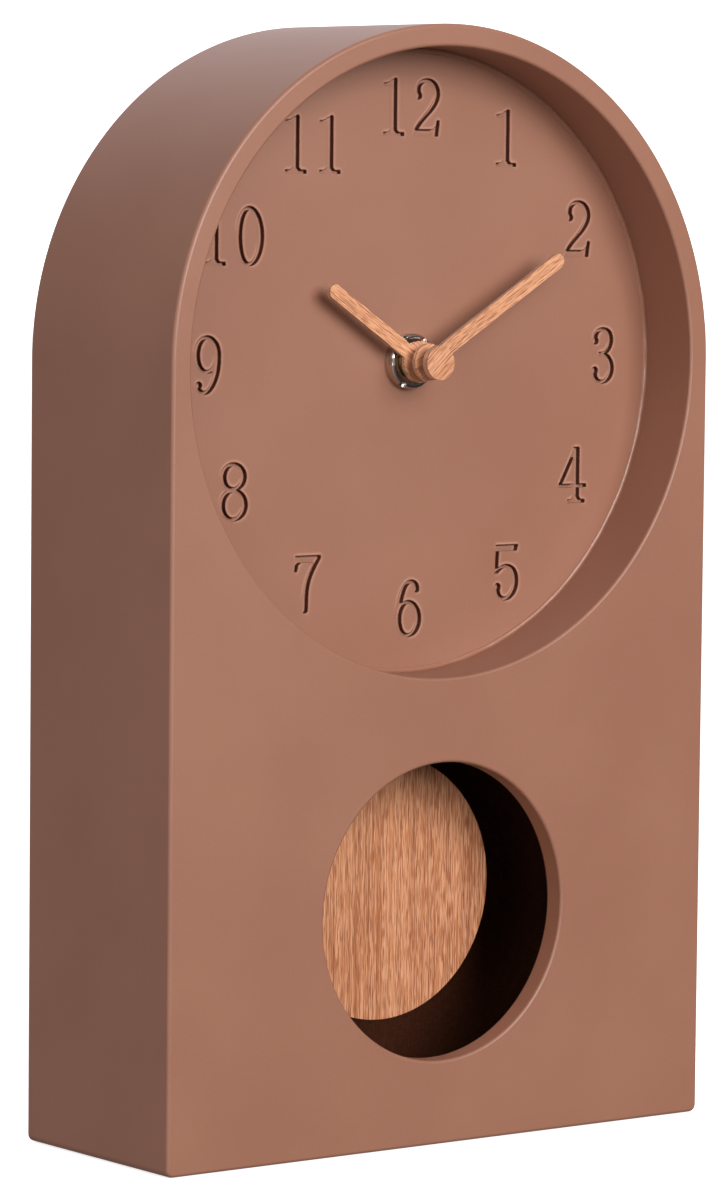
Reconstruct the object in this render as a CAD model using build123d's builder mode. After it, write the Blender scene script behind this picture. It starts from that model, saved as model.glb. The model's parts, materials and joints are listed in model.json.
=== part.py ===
"""Desk pendulum clock: arched painted case, engraved dial, quartz movement and a hanging round bob.

Millimetres. X is to the right, Y to the back and Z up, as seen from the front of the clock.
The origin is on the table under the middle of the case.
Depths are measured backwards from the front face of the case.
"""
import math
import os

from build123d import *

# Case, in real sizes
CASE_WIDTH = 180.0
CASE_HEIGHT = 300.0
CASE_DEPTH = 66.0
CASE_WALL = 6.0
FRONT_PANEL = 6.0
BASE_EDGE_ROUND = 2.0
EDGE_ROUND = 1.0
RIM_ROUND = 0.8
WINDOW_MARGIN = 22.75

# Dial and the ring that carries it
RECESS_DEPTH = 19.0
RING_WALL = 3.0
LEDGE_WIDTH = 4.0
LEDGE_THICKNESS = 3.0
DIAL_THICKNESS = 4.0
NUMERAL_MARGIN = 17.0
NUMERAL_HEIGHT = 15.4
NUMERAL_THIN = 0.95
NUMERAL_THICK = 2.1
NUMERAL_BRACKET = 0.7
NUMERAL_DEPTH = 1.2
NUMERAL_SPACING = 11.2
HOURS = 12

# Back panel and its screws
PANEL_THICKNESS = 3.0
PANEL_INSET = 2.5
PANEL_BOSS_RADIUS = 4.5
PANEL_BOSS_LENGTH = 20.0
PANEL_BOSS_SINK = 1.0
UPPER_BOSS_ANGLE = 50.0
ACCESS_MARGIN = 7.0
ACCESS_CORNER = 6.0
SCREW_RADIUS = 1.5
SCREW_LENGTH = 12.0
SCREW_HEAD_RADIUS = 3.2
SCREW_HEAD_HEIGHT = 2.0
SCREW_SLOT_SHARE = 0.6
SCREW_SLOT_WIDTH = 0.8
SCREW_SLOT_DEPTH = 1.0

# Centre fixing of the movement
BUSH_RADIUS = 4.0
BUSH_FLANGE_RADIUS = 5.5
BUSH_FLANGE = 0.6
BUSH_SETBACK = 0.8
WASHER_RADIUS = 12.0
WASHER_THICKNESS = 1.0
NUT_RADIUS = 7.5
NUT_THICKNESS = 3.2
NUT_CONE = 1.4
NUT_NOTCH_WIDTH = 2.0
NUT_NOTCH_DEPTH = 1.1
NUT_NOTCHES = 6

# Hands
HOUR_PIPE_RADIUS = 2.5
MINUTE_SHAFT_RADIUS = 1.6
HAND_WIDTH = 4.0
BLADE_THICKNESS = 0.8
VENEER_THICKNESS = 0.4
COLLET_LENGTH = 1.2
COLLET_WALL = 1.1
HOUR_HAND_LENGTH = 36.2
HOUR_HUB_RADIUS = 5.6
HOUR_HAND_LIFT = 6.2
HOUR_HAND_ANGLE = -56.5
MINUTE_HAND_LENGTH = 53.4
MINUTE_HUB_RADIUS = 5.0
MINUTE_HAND_LIFT = 10.2
MINUTE_HAND_ANGLE = 58.4
CAP_RADIUS = 4.6
CAP_THICKNESS = 1.6
CAP_LIFT = 15.0
CAP_STEM_WALL = 0.9

# Gear train, leaves and teeth in the order of the drive
ROTOR_LEAVES = 8
INTERMEDIATE_TEETH = 48
INTERMEDIATE_LEAVES = 8
SECONDS_TEETH = 40
SECONDS_LEAVES = 8
THIRD_TEETH = 60
THIRD_LEAVES = 8
CENTRE_TEETH = 64
ROTOR_DISTANCE = 7.56
INTERMEDIATE_DISTANCE = 8.16
THIRD_DISTANCE = 10.8
THIRD_DIRECTION = 140.0
INTERMEDIATE_DIRECTION = 235.0
ROTOR_DIRECTION = 215.0

# Motion work behind the hands
CANNON_LEAVES = 12
MINUTE_TEETH = 36
MINUTE_LEAVES = 10
HOUR_TEETH = 40
SETTING_LEAVES = 12
MINUTE_DISTANCE = 9.6
MINUTE_DIRECTION = -20.0
SETTING_DIRECTION = 10.0

# Tooth form
PRESSURE_ANGLE = 25.0
ADDENDUM = 0.80
DEDENDUM = 1.15
BACKLASH_SHARE = 0.16

# Gear layers and arbors
GEAR_THICKNESS = 0.9
LAYER_GAP = 0.5
PLATE_THICKNESS = 1.6
ARBOR_RADIUS = 0.6
PIVOT_RADIUS = 0.4
PIVOT_LENGTH = 0.5
POST_RADIUS = 1.0

# Stepping motor
ROTOR_MAGNET_RADIUS = 2.5
ROTOR_MAGNET_LENGTH = 1.6
STATOR_GAP = 0.4
STATOR_RING_WIDTH = 2.1
STATOR_ARM_WIDTH = 4.0
STATOR_THICKNESS = 0.8
CORE_LENGTH = 28.0
CORE_WIDTH = 2.4
CORE_THICKNESS = 0.8
BOBBIN_FLANGE = 1.2
BOBBIN_WALL = 0.4
WINDING_MARGIN = 0.4

# Movement box
BATTERY_DIAMETER = 14.5
BATTERY_LENGTH = 50.5
BATTERY_NUB_RADIUS = 2.75
BATTERY_NUB_LENGTH = 1.3
CONTACT_THICKNESS = 0.4
CONTACT_WIDTH = 9.0
CONTACT_HEIGHT = 11.0
CONTACT_TONGUE = 5.5
CONTACT_SPACE = 2.15
MOVEMENT_CORNER = 3.0
MOVEMENT_SCREW_RADIUS = 1.0
MOVEMENT_SCREW_LENGTH = 6.0
MOVEMENT_SCREW_HEAD_RADIUS = 1.9
MOVEMENT_SCREW_HEAD_HEIGHT = 1.2
MOVEMENT_BOSS_RADIUS = 2.2
COLUMN_RADIUS = 2.5
KNOB_RADIUS = 6.5
KNOB_THICKNESS = 4.5
KNOB_RIBS = 18
KNOB_RIB_RADIUS = 0.45
KNOB_SHAFT_RADIUS = 1.2

# Electronics
BOARD_WIDTH = 11.5
BOARD_HEIGHT = 26.0
BOARD_THICKNESS = 1.0
BOARD_DEPTH = 7.4
CRYSTAL_RADIUS = 1.0
CRYSTAL_LENGTH = 6.0
CHIP_SIZE = 5.0
CHIP_THICKNESS = 1.2

# Pendulum
PIVOT_PIN_RADIUS = 1.0
HANGER_HUB_RADIUS = 3.0
HANGER_HUB_LENGTH = 7.0
HANGER_WIDTH = 6.0
HANGER_THICKNESS = 2.0
HANGER_INSET = 8.6
MAGNET_DROP = 22.0
MAGNET_RADIUS = 4.0
MAGNET_THICKNESS = 2.0
DRIVE_COIL_RADIUS = 6.0
DRIVE_COIL_HOLE = 2.0
DRIVE_COIL_LENGTH = 3.4
HOOK_DROP = 6.0
HOOK_PIN_RADIUS = 1.2
HANGER_END = 3.0
ROD_WIDTH = 5.0
ROD_THICKNESS = 1.2
ROD_HEAD = 3.4
SWING_LIMIT = 10.0
BOB_MARGIN = 4.05
BOB_THICKNESS = 3.0
BOB_RISE = 3.4
CLIP_WIDTH = 12.0
CLIP_HEIGHT = 26.0
CLIP_WALL = 0.8
CLIP_STOP = 2.0

# Clearances
RUNNING_FIT = 0.05
PRESS_FIT = 0.02
END_PLAY = 0.15
LOOSE_FIT = 0.3
DIAL_FIT = 0.05
BATTERY_FIT = 0.5
SWING_ROOM = 1.0
WALL_ROOM = 1.5

# Heights and radii that follow from the case
arch_radius = CASE_WIDTH / 2
arch_centre = CASE_HEIGHT - arch_radius
shaft = (0.0, arch_centre)
inner_half = arch_radius - CASE_WALL
recess_radius = inner_half
ledge_radius = recess_radius - LEDGE_WIDTH
numeral_radius = recess_radius - NUMERAL_MARGIN
numeral_unit = NUMERAL_HEIGHT / 100

# Window midway between the base and the recess, with the bob behind it
window_height = (arch_centre - recess_radius) / 2
window_radius = window_height - WINDOW_MARGIN
bob_radius = window_radius - BOB_MARGIN
bob_height = window_height + BOB_RISE

# Depths of the centre fixing, from the dial backwards and forwards
dial_front = RECESS_DEPTH
dial_back = dial_front + DIAL_THICKNESS
movement_front = dial_back + WASHER_THICKNESS
movement_floor = movement_front + PLATE_THICKNESS
nut_front = dial_front - NUT_THICKNESS
bush_front = nut_front + BUSH_SETBACK
flange_back = movement_floor + BUSH_FLANGE
hour_hand_front = dial_front - HOUR_HAND_LIFT
minute_hand_front = dial_front - MINUTE_HAND_LIFT
cap_front = dial_front - CAP_LIFT
cap_back = cap_front + VENEER_THICKNESS + CAP_THICKNESS

# Gear layers as pairs of front and back depth
layer_step = GEAR_THICKNESS + LAYER_GAP
hour_layer = (flange_back + LOOSE_FIT, flange_back + LOOSE_FIT + GEAR_THICKNESS)
minute_layer = (hour_layer[0] + layer_step, hour_layer[1] + layer_step)
centre_layer = (minute_layer[0] + layer_step, minute_layer[1] + layer_step)
plate_front = centre_layer[1] + LAYER_GAP
knob_seat = minute_layer[0] - LAYER_GAP
plate_back = plate_front + PLATE_THICKNESS
third_layer = (plate_back + LAYER_GAP, plate_back + layer_step)
seconds_layer = (third_layer[0] + layer_step, third_layer[1] + layer_step)
intermediate_layer = (seconds_layer[0] + layer_step, seconds_layer[1] + layer_step)
magnet_start = intermediate_layer[1] + LAYER_GAP
magnet_layer = (magnet_start, magnet_start + ROTOR_MAGNET_LENGTH)
cover_front = magnet_layer[1] + LAYER_GAP
cover_back = cover_front + PLATE_THICKNESS
stator_front = magnet_layer[0]
stator_back = stator_front + STATOR_THICKNESS
core_back = stator_front
core_front = core_back - CORE_THICKNESS
core_middle = (core_front + core_back) / 2
bobbin_half = cover_front - LOOSE_FIT - core_middle


def from_axis(axis, distance, degrees):
    """Point at a distance and direction from an axis, as seen from the front."""
    turn = math.radians(degrees)
    return (axis[0] + distance * math.cos(turn), axis[1] + distance * math.sin(turn))


def meshing_phase(phase, teeth, mate_teeth, direction):
    """Angle of the mate's first tooth, so that its gap meets this gear's tooth on the line of centres."""
    line = math.radians(direction)
    return line + math.pi + math.pi / mate_teeth - (phase - line) * teeth / mate_teeth


# Modules of the meshing pairs, from the distances between their centres
rotor_module = 2 * ROTOR_DISTANCE / (INTERMEDIATE_TEETH + ROTOR_LEAVES)
seconds_module = 2 * INTERMEDIATE_DISTANCE / (SECONDS_TEETH + INTERMEDIATE_LEAVES)
third_module = 2 * THIRD_DISTANCE / (THIRD_TEETH + SECONDS_LEAVES)
centre_module = 2 * THIRD_DISTANCE / (CENTRE_TEETH + THIRD_LEAVES)
cannon_module = 2 * MINUTE_DISTANCE / (CANNON_LEAVES + MINUTE_TEETH)
hour_module = 2 * MINUTE_DISTANCE / (MINUTE_LEAVES + HOUR_TEETH)
setting_distance = cannon_module * (MINUTE_TEETH + SETTING_LEAVES) / 2

# Axes seen from the front, as x and z
third_axis = from_axis(shaft, THIRD_DISTANCE, THIRD_DIRECTION)
intermediate_axis = from_axis(shaft, INTERMEDIATE_DISTANCE, INTERMEDIATE_DIRECTION)
rotor_axis = from_axis(intermediate_axis, ROTOR_DISTANCE, ROTOR_DIRECTION)
minute_axis = from_axis(shaft, MINUTE_DISTANCE, MINUTE_DIRECTION)
setting_axis = from_axis(minute_axis, setting_distance, SETTING_DIRECTION)

# Phases, each worked out from the gear that drives it
intermediate_phase = meshing_phase(0, ROTOR_LEAVES, INTERMEDIATE_TEETH, ROTOR_DIRECTION + 180)
seconds_phase = meshing_phase(0, INTERMEDIATE_LEAVES, SECONDS_TEETH, INTERMEDIATE_DIRECTION + 180)
third_phase = meshing_phase(0, SECONDS_LEAVES, THIRD_TEETH, THIRD_DIRECTION)
centre_phase = meshing_phase(0, THIRD_LEAVES, CENTRE_TEETH, THIRD_DIRECTION + 180)
minute_phase = meshing_phase(0, CANNON_LEAVES, MINUTE_TEETH, MINUTE_DIRECTION)
hour_phase = meshing_phase(0, MINUTE_LEAVES, HOUR_TEETH, MINUTE_DIRECTION + 180)
setting_phase = meshing_phase(minute_phase, MINUTE_TEETH, SETTING_LEAVES, SETTING_DIRECTION)

# Movement box around the train, the battery and the pendulum hanger
stator_hole = ROTOR_MAGNET_RADIUS + STATOR_GAP
stator_ring = stator_hole + STATOR_RING_WIDTH
box_half = BATTERY_LENGTH / 2 + CONTACT_SPACE
third_tip = third_module * (THIRD_TEETH / 2 + ADDENDUM)
bay_wall_low = third_axis[1] + third_tip + WALL_ROOM
bay_low = bay_wall_low + PLATE_THICKNESS
bay_high = bay_low + BATTERY_DIAMETER + 2 * BATTERY_FIT
box_high = bay_high + PLATE_THICKNESS
middle_plate_low = rotor_axis[1] - stator_ring
pivot_axis = (0.0, middle_plate_low - HANGER_HUB_RADIUS - SWING_ROOM)
magnet_axis = (0.0, pivot_axis[1] - MAGNET_DROP)
box_floor = magnet_axis[1] - DRIVE_COIL_RADIUS - LOOSE_FIT
box_low = box_floor - PLATE_THICKNESS
hook_axis = (0.0, box_low - HOOK_DROP)
battery_axis = (0.0, (bay_low + bay_high) / 2)
battery_depth = movement_floor + BATTERY_FIT + BATTERY_DIAMETER / 2
coil_x = -(box_half - bobbin_half - WALL_ROOM)
arm_half = STATOR_ARM_WIDTH / 2
core_low = rotor_axis[1] - arm_half
core_high = core_low + CORE_LENGTH
arm_low = core_low + arm_half
arm_high = core_high - arm_half
bobbin_low = arm_low + arm_half + LOOSE_FIT
bobbin_high = arm_high - arm_half - LOOSE_FIT
arm_corner = coil_x + bobbin_half + WALL_ROOM + arm_half
boss_x = box_half - MOVEMENT_BOSS_RADIUS
cover_bosses = [(side * boss_x, height)
                for side in (-1, 1)
                for height in (middle_plate_low - MOVEMENT_BOSS_RADIUS - SWING_ROOM,
                               box_floor + MOVEMENT_BOSS_RADIUS)]
column_x = box_half - COLUMN_RADIUS + PLATE_THICKNESS / 2
columns = [(side * column_x, height)
           for side in (-1, 1)
           for height in (middle_plate_low + COLUMN_RADIUS, bay_wall_low - COLUMN_RADIUS)]

# Pendulum depths
hanger_front = movement_front + HANGER_INSET
hanger_back = hanger_front + HANGER_THICKNESS
hub_front = (hanger_front + hanger_back - HANGER_HUB_LENGTH) / 2
hub_back = hub_front + HANGER_HUB_LENGTH
rod_back = hanger_front
rod_front = rod_back - ROD_THICKNESS
bob_back = rod_front - CLIP_WALL
bob_front = bob_back - BOB_THICKNESS
magnet_front = hanger_front - MAGNET_THICKNESS
swing = math.radians(SWING_LIMIT)
slot_half = (pivot_axis[1] - box_low) * math.tan(swing) + HANGER_WIDTH / 2 / math.cos(swing) + SWING_ROOM

# Back panel depths and screw places
panel_back = CASE_DEPTH - PANEL_INSET
panel_front = panel_back - PANEL_THICKNESS
boss_offset = PANEL_BOSS_RADIUS - PANEL_BOSS_SINK
boss_wall = inner_half - boss_offset
panel_bosses = [point
                for side in (-1, 1)
                for point in ((side * boss_wall, CASE_WALL + boss_offset),
                              (side * boss_wall, (CASE_WALL + arch_centre) / 2),
                              from_axis(shaft, boss_wall, 90 + side * UPPER_BOSS_ANGLE))]


def facing(depth):
    """Plane parallel to the front face, at a depth behind it, with its normal to the front."""
    return Plane.XZ.offset(CASE_DEPTH / 2 - depth)


def arch(inset, front, back, mode=Mode.ADD):
    """Case outline moved inwards, between two depths: a flat base, straight sides and a half circle."""
    half = arch_radius - inset
    with BuildSketch(facing(back)) as outline:
        with BuildLine():
            Line((-half, inset), (half, inset))
            Line((half, inset), (half, arch_centre))
            CenterArc(shaft, half, 0, 180)
            Line((-half, arch_centre), (-half, inset))
        make_face()
    extrude(outline.sketch, amount=back - front, mode=mode)


def disc(axis, radius, front, back, mode=Mode.ADD):
    """Round boss, arbor or hole along Y between two depths."""
    with BuildSketch(facing(back)) as outline:
        with Locations(axis):
            Circle(radius)
    extrude(outline.sketch, amount=back - front, mode=mode)


def block(low, high, front, back, mode=Mode.ADD, corner=0):
    """Box between two corners seen from the front and two depths."""
    with BuildSketch(facing(back)) as outline:
        with Locations(((low[0] + high[0]) / 2, (low[1] + high[1]) / 2)):
            if corner:
                RectangleRounded(high[0] - low[0], high[1] - low[1], corner)
            else:
                Rectangle(high[0] - low[0], high[1] - low[1])
    extrude(outline.sketch, amount=back - front, mode=mode)


def tooth_points(teeth, module, axis, phase):
    """Root and tip points of all teeth, on involute flanks that are thinned for backlash."""
    pitch_radius = teeth * module / 2
    pressure = math.radians(PRESSURE_ANGLE)
    base_radius = pitch_radius * math.cos(pressure)
    half_at_pitch = math.pi / 2 * (1 - BACKLASH_SHARE) / teeth
    corners = []
    for radius in (pitch_radius - DEDENDUM * module, pitch_radius + ADDENDUM * module):
        roll = math.acos(base_radius / max(radius, base_radius))
        half = half_at_pitch + math.tan(pressure) - pressure - math.tan(roll) + roll
        corners.append((radius, half))
    (root_radius, root_half), (tip_radius, tip_half) = corners
    points = []
    for tooth in range(teeth):
        middle = phase + 2 * math.pi * tooth / teeth
        for radius, half in ((root_radius, -root_half), (tip_radius, -tip_half),
                             (tip_radius, tip_half), (root_radius, root_half)):
            points.append(from_axis(axis, radius, math.degrees(middle + half)))
    return points


def gear(teeth, module, axis, phase, layer):
    """Toothed wheel or pinion in one layer."""
    front, back = layer
    with BuildSketch(facing(back)) as outline:
        with BuildLine():
            Polyline(*tooth_points(teeth, module, axis, phase), close=True)
        make_face()
    extrude(outline.sketch, amount=back - front)


def arbor(axis, front, back):
    """Arbor with a thinner pivot at each end, between two plates with a little end play."""
    disc(axis, ARBOR_RADIUS, front + END_PLAY, back - END_PLAY)
    disc(axis, PIVOT_RADIUS, front - PIVOT_LENGTH, back + PIVOT_LENGTH)


def pivot_hole(axis, front, back):
    """Blind hole for one pivot."""
    disc(axis, PIVOT_RADIUS + RUNNING_FIT, front, back, Mode.SUBTRACT)


def hand_strip(length, angle, hub_radius, front, back):
    """Straight strip with a round tip on a round hub, between two depths."""
    tip = from_axis(shaft, length - HAND_WIDTH / 2, 90 - angle)
    with BuildSketch(facing(back)) as outline:
        with BuildLine():
            Line(shaft, tip)
        trace(line_width=HAND_WIDTH)
        with Locations(tip):
            Circle(HAND_WIDTH / 2)
        with Locations(shaft):
            Circle(hub_radius)
    extrude(outline.sketch, amount=back - front)


def pan_screw(axis, seat, radius, length, head_radius, head_height):
    """Pan-head screw along Y, its head behind the seat, with a cross slot."""
    disc(axis, radius, seat - length, seat)
    disc(axis, head_radius, seat, seat + head_height)
    slot = head_radius * SCREW_SLOT_SHARE
    for half_x, half_z in ((slot, SCREW_SLOT_WIDTH / 2), (SCREW_SLOT_WIDTH / 2, slot)):
        block((axis[0] - half_x, axis[1] - half_z), (axis[0] + half_x, axis[1] + half_z),
              seat + head_height - SCREW_SLOT_DEPTH, seat + head_height, Mode.SUBTRACT)


def numeral_forms(digit):
    """Strokes of one digit in numeral units, hundredths of its height, from its middle.

    A pen is a row of points with the stroke's weight at each, from 0 for thin to 1 for thick. A ring has a
    middle, two half axes and the weight of its sides, and a ball a middle and a weight. A plate is an
    outline with straight sides, and a foot has the middle of its stem and a half length.
    """
    forms = {
        "0": [("ring", (0, 0), (30, 51), 1)],
        "1": [("pen", (0, 46, 1), (0, -50, 1)), ("foot", 0, 22.5),
              ("plate", (-22, 41), (-12, 42), (-3, 46), (2, 50), (6.8, 50), (6.8, 35), (-22, 35.5))],
        "2": [("ball", (-18.5, 20.5), 1),
              ("pen", (-18.5, 20.5, 0.65), (-19.8, 30.5, 0.45), (-16.5, 39.5, 0.2), (-0.5, 46.8, 0.05),
               (16.2, 40.3, 0.4), (22, 25.3, 0.8), (17, 8, 0.5), (2, -10.4, 0.1), (-25, -41, 0.08)),
              ("plate", (-29, -50), (24.3, -50), (28, -22.4), (21.8, -22.4), (19.2, -33), (13.6, -38.3),
               (-24.5, -38.3))],
        "3": [("ball", (-18, 27), 1), ("ball", (-18.2, -26), 0.9),
              ("pen", (-18, 27, 0.6), (-17.6, 36.4, 0.4), (-11.5, 44, 0.13), (1, 47, 0.05), (13.3, 42, 0.35),
               (17.6, 30, 0.6), (13, 13, 0.3), (0, 2.8, 0)),
              ("pen", (-9.5, 2.8, 0.12), (4, 2.8, 0.12)),
              ("pen", (0, 2.8, 0), (12.5, -3.5, 0.35), (19, -21.5, 0.9), (13.5, -39.3, 0.5), (1.3, -47, 0.05),
               (-12.3, -43.6, 0.13), (-18, -35, 0.4), (-18.2, -26, 0.6))],
        "4": [("pen", (9, 50, 0.95), (9, -50, 0.95)), ("foot", 9, 19.5),
              ("pen", (6, 45, 0), (-28.4, -17.5, 0)), ("pen", (-31, -19, 0), (31.5, -19, 0))],
        "5": [("plate", (-24.4, 49.2), (25.7, 49.2), (22.4, 38.3), (-24.4, 38.3)),
              ("plate", (-24.4, 49.2), (-17, 49.2), (-19.6, 2), (-26.6, -2)),
              ("pen", (-23, 0.5, 0), (-13, 8.2, 0), (0, 11.4, 0.05), (15, 4, 0.5), (20.5, -14.3, 0.83),
               (14.3, -36.4, 0.5), (-1.3, -46.8, 0.05), (-14.3, -42.2, 0.15), (-19.5, -33.8, 0.45),
               (-19.8, -24.7, 0.6)),
              ("ball", (-19.8, -24.7), 0.9)],
        "6": [("ring", (0, -18), (28.2, 32.5), 0.85), ("ball", (17.3, 33.8), 0.85),
              ("pen", (-22.2, -17, 0.75), (-20, 9, 0.8), (-12.3, 31, 0.5), (3.9, 46.8, 0.05), (15.6, 43, 0.25),
               (17.3, 33.8, 0.7))],
        "7": [("plate", (-24.4, 49.7), (29.5, 49.7), (28.8, 43), (22, 38.3), (-13, 38.3), (-19, 33.8),
               (-22, 22.4), (-27.3, 22.4)),
              ("pen", (24.8, 44.2, 0), (15, 30, 0.13), (4.2, 10.4, 0.4), (-2.3, -11.7, 0.75),
               (-4.2, -31.2, 1), (-4.5, -43.2, 0.95)),
              ("ball", (-4.5, -43.2), 1)],
        "8": [("ring", (0, 26), (27.3, 24.5), 0.75), ("ring", (0, -22.4), (30, 28), 0.8)],
    }
    if digit == "9":
        return [half_turn(form) for form in forms["6"]]
    return forms[digit]


def half_turn(form):
    """The same pen, ring or ball, turned upside down."""
    kind, *points = form
    if kind == "pen":
        return (kind, *[(-x, -z, weight) for x, z, weight in points])
    middle, *rest = points
    return (kind, (-middle[0], -middle[1]), *rest)


def stroke_width(weight):
    """Width of a groove in millimetres, between the thin and the thick stroke."""
    return NUMERAL_THIN + weight * (NUMERAL_THICK - NUMERAL_THIN)


def pen_sides(points):
    """Points along the left and the right side of a pen stroke."""
    left = []
    right = []
    for index, (x, z, weight) in enumerate(points):
        before = points[max(index - 1, 0)]
        after = points[min(index + 1, len(points) - 1)]
        run = after[0] - before[0]
        rise = after[1] - before[1]
        reach = stroke_width(weight) / 2 / numeral_unit / math.hypot(run, rise)
        left.append((x - rise * reach, z + run * reach))
        right.append((x + rise * reach, z - run * reach))
    return left, right


def foot_corners(middle, half):
    """Outline of a thin foot with a sloped bracket on each side of its stem."""
    base = -NUMERAL_HEIGHT / 2 / numeral_unit
    top = base + NUMERAL_THIN / numeral_unit
    stem = NUMERAL_THICK / 2 / numeral_unit
    bracket = NUMERAL_BRACKET / numeral_unit
    profile = [(half, base), (half, top), (stem + bracket, top), (stem, top + bracket)]
    mirrored = [(-x, z) for x, z in reversed(profile)]
    return [(middle + x, z) for x, z in profile + mirrored]


def engrave_digit(digit, centre):
    """Groove outline of one digit, added to the sketch at hand."""
    def spot(point):
        return (centre[0] + point[0] * numeral_unit, centre[1] + point[1] * numeral_unit)

    for kind, *form in numeral_forms(digit):
        with BuildSketch(mode=Mode.PRIVATE) as groove:
            if kind == "ball":
                with Locations(spot(form[0])):
                    Circle(stroke_width(form[1]) / 2)
            elif kind == "ring":
                middle, (wide, high), weight = form
                with Locations(spot(middle)):
                    Ellipse(wide * numeral_unit, high * numeral_unit)
                    Ellipse(wide * numeral_unit - stroke_width(weight), high * numeral_unit - NUMERAL_THIN,
                            mode=Mode.SUBTRACT)
            elif kind == "pen":
                left, right = [[spot(point) for point in side] for side in pen_sides(form)]
                side_line = Spline if len(form) > 2 else Line
                with BuildLine():
                    side_line(*left)
                    side_line(*right)
                    Line(left[0], right[0])
                    Line(left[-1], right[-1])
                make_face()
            else:
                corners = foot_corners(*form) if kind == "foot" else form
                with BuildLine():
                    Polyline(*[spot(corner) for corner in corners], close=True)
                make_face()
        add(groove.sketch)


def numeral_shift(hour):
    """Place of an hour's numeral beside its point on the circle, set by eye, in numeral units."""
    shifts = [(-2, 13), (4.5, 13), (8, 3.5), (-1, 8), (10, -2), (8.5, 1),
              (4.5, -6.5), (6.5, -1.5), (8, -2), (0, -0.5), (9.5, -2.5), (2, 6)]
    x, z = shifts[hour - 1]
    return (x * numeral_unit, z * numeral_unit)


os.makedirs("parts", exist_ok=True)

# Case: an arched box, hollow from the back, with a ring and a ledge for the dial
with BuildPart() as case_shell:
    arch(0, 0, CASE_DEPTH)
    base_edges = case_shell.edges().filter_by(Axis.Y).group_by(Axis.Z)[0]
    fillet(base_edges, BASE_EDGE_ROUND)
    front_face = case_shell.faces().filter_by(Axis.Y).sort_by(Axis.Y)[0]
    back_face = case_shell.faces().filter_by(Axis.Y).sort_by(Axis.Y)[-1]
    fillet(front_face.edges() + back_face.edges(), EDGE_ROUND)
    arch(CASE_WALL, FRONT_PANEL, CASE_DEPTH, Mode.SUBTRACT)
    with BuildSketch(facing(dial_back + LEDGE_THICKNESS)):
        with Locations(shaft):
            Circle(recess_radius + RING_WALL)
            Circle(ledge_radius, mode=Mode.SUBTRACT)
    extrude(amount=dial_back + LEDGE_THICKNESS - FRONT_PANEL)
    disc(shaft, recess_radius, 0, dial_back, Mode.SUBTRACT)
    disc((0, window_height), window_radius, 0, FRONT_PANEL, Mode.SUBTRACT)
    front_plane = case_shell.faces().filter_by(Axis.Y).sort_by(Axis.Y)[0]
    rims = [wire.edges() for wire in front_plane.inner_wires()]
    fillet(rims[0] + rims[1], RIM_ROUND)
    for boss in panel_bosses:
        disc(boss, PANEL_BOSS_RADIUS, panel_front - PANEL_BOSS_LENGTH, panel_front)
    for boss in panel_bosses:
        disc(boss, SCREW_RADIUS + PRESS_FIT, panel_back - SCREW_LENGTH - LOOSE_FIT, panel_front,
             Mode.SUBTRACT)

# Dial: a disc that fits in the recess from the front, with engraved numerals
with BuildPart() as dial:
    disc(shaft, recess_radius - DIAL_FIT, dial_front, dial_back)
    disc(shaft, BUSH_RADIUS + LOOSE_FIT, dial_front, dial_back, Mode.SUBTRACT)
    with BuildSketch(facing(dial_front + NUMERAL_DEPTH)):
        for hour in range(1, HOURS + 1):
            place = from_axis(shaft, numeral_radius, 90 - 360 / HOURS * hour)
            shift = numeral_shift(hour)
            digits = str(hour)
            first = place[0] + shift[0] - NUMERAL_SPACING * (len(digits) - 1) / 2
            for index, digit in enumerate(digits):
                engrave_digit(digit, (first + index * NUMERAL_SPACING, place[1] + shift[1]))
    extrude(amount=NUMERAL_DEPTH, mode=Mode.SUBTRACT)

# Back panel: a board inside the walls, with an opening to reach the movement
with BuildPart() as back_panel:
    arch(CASE_WALL + LOOSE_FIT, panel_front, panel_back)
    block((-box_half - ACCESS_MARGIN, hook_axis[1] - ACCESS_MARGIN),
          (box_half + ACCESS_MARGIN, box_high + ACCESS_MARGIN),
          panel_front, panel_back, Mode.SUBTRACT, ACCESS_CORNER)
    for boss in panel_bosses:
        disc(boss, SCREW_RADIUS + LOOSE_FIT, panel_front, panel_back, Mode.SUBTRACT)

with BuildPart() as back_panel_screws:
    for boss in panel_bosses:
        pan_screw(boss, panel_back, SCREW_RADIUS, SCREW_LENGTH, SCREW_HEAD_RADIUS, SCREW_HEAD_HEIGHT)

# Centre fixing: the bush passes through the dial and the nut pulls the movement against it
with BuildPart() as threaded_bush:
    disc(shaft, BUSH_RADIUS, bush_front, movement_floor)
    disc(shaft, BUSH_FLANGE_RADIUS, movement_floor, flange_back)
    disc(shaft, HOUR_PIPE_RADIUS + RUNNING_FIT, bush_front, flange_back, Mode.SUBTRACT)

with BuildPart() as rubber_washer:
    disc(shaft, WASHER_RADIUS, dial_back, movement_front)
    disc(shaft, BUSH_RADIUS + LOOSE_FIT, dial_back, movement_front, Mode.SUBTRACT)

with BuildPart() as ring_nut:
    disc(shaft, NUT_RADIUS, nut_front, dial_front)
    disc(shaft, BUSH_RADIUS + PRESS_FIT, nut_front, dial_front, Mode.SUBTRACT)
    nut_edges = ring_nut.faces().sort_by(Axis.Y)[0].edges().sort_by(SortBy.RADIUS)
    chamfer(nut_edges[0], NUT_CONE)
    fillet(nut_edges[-1], RIM_ROUND)
    with BuildSketch(facing(nut_front + NUT_NOTCH_DEPTH)):
        with Locations(shaft):
            with PolarLocations(NUT_RADIUS, NUT_NOTCHES):
                Rectangle(2 * NUT_NOTCH_DEPTH, NUT_NOTCH_WIDTH)
    extrude(amount=NUT_NOTCH_DEPTH, mode=Mode.SUBTRACT)

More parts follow.
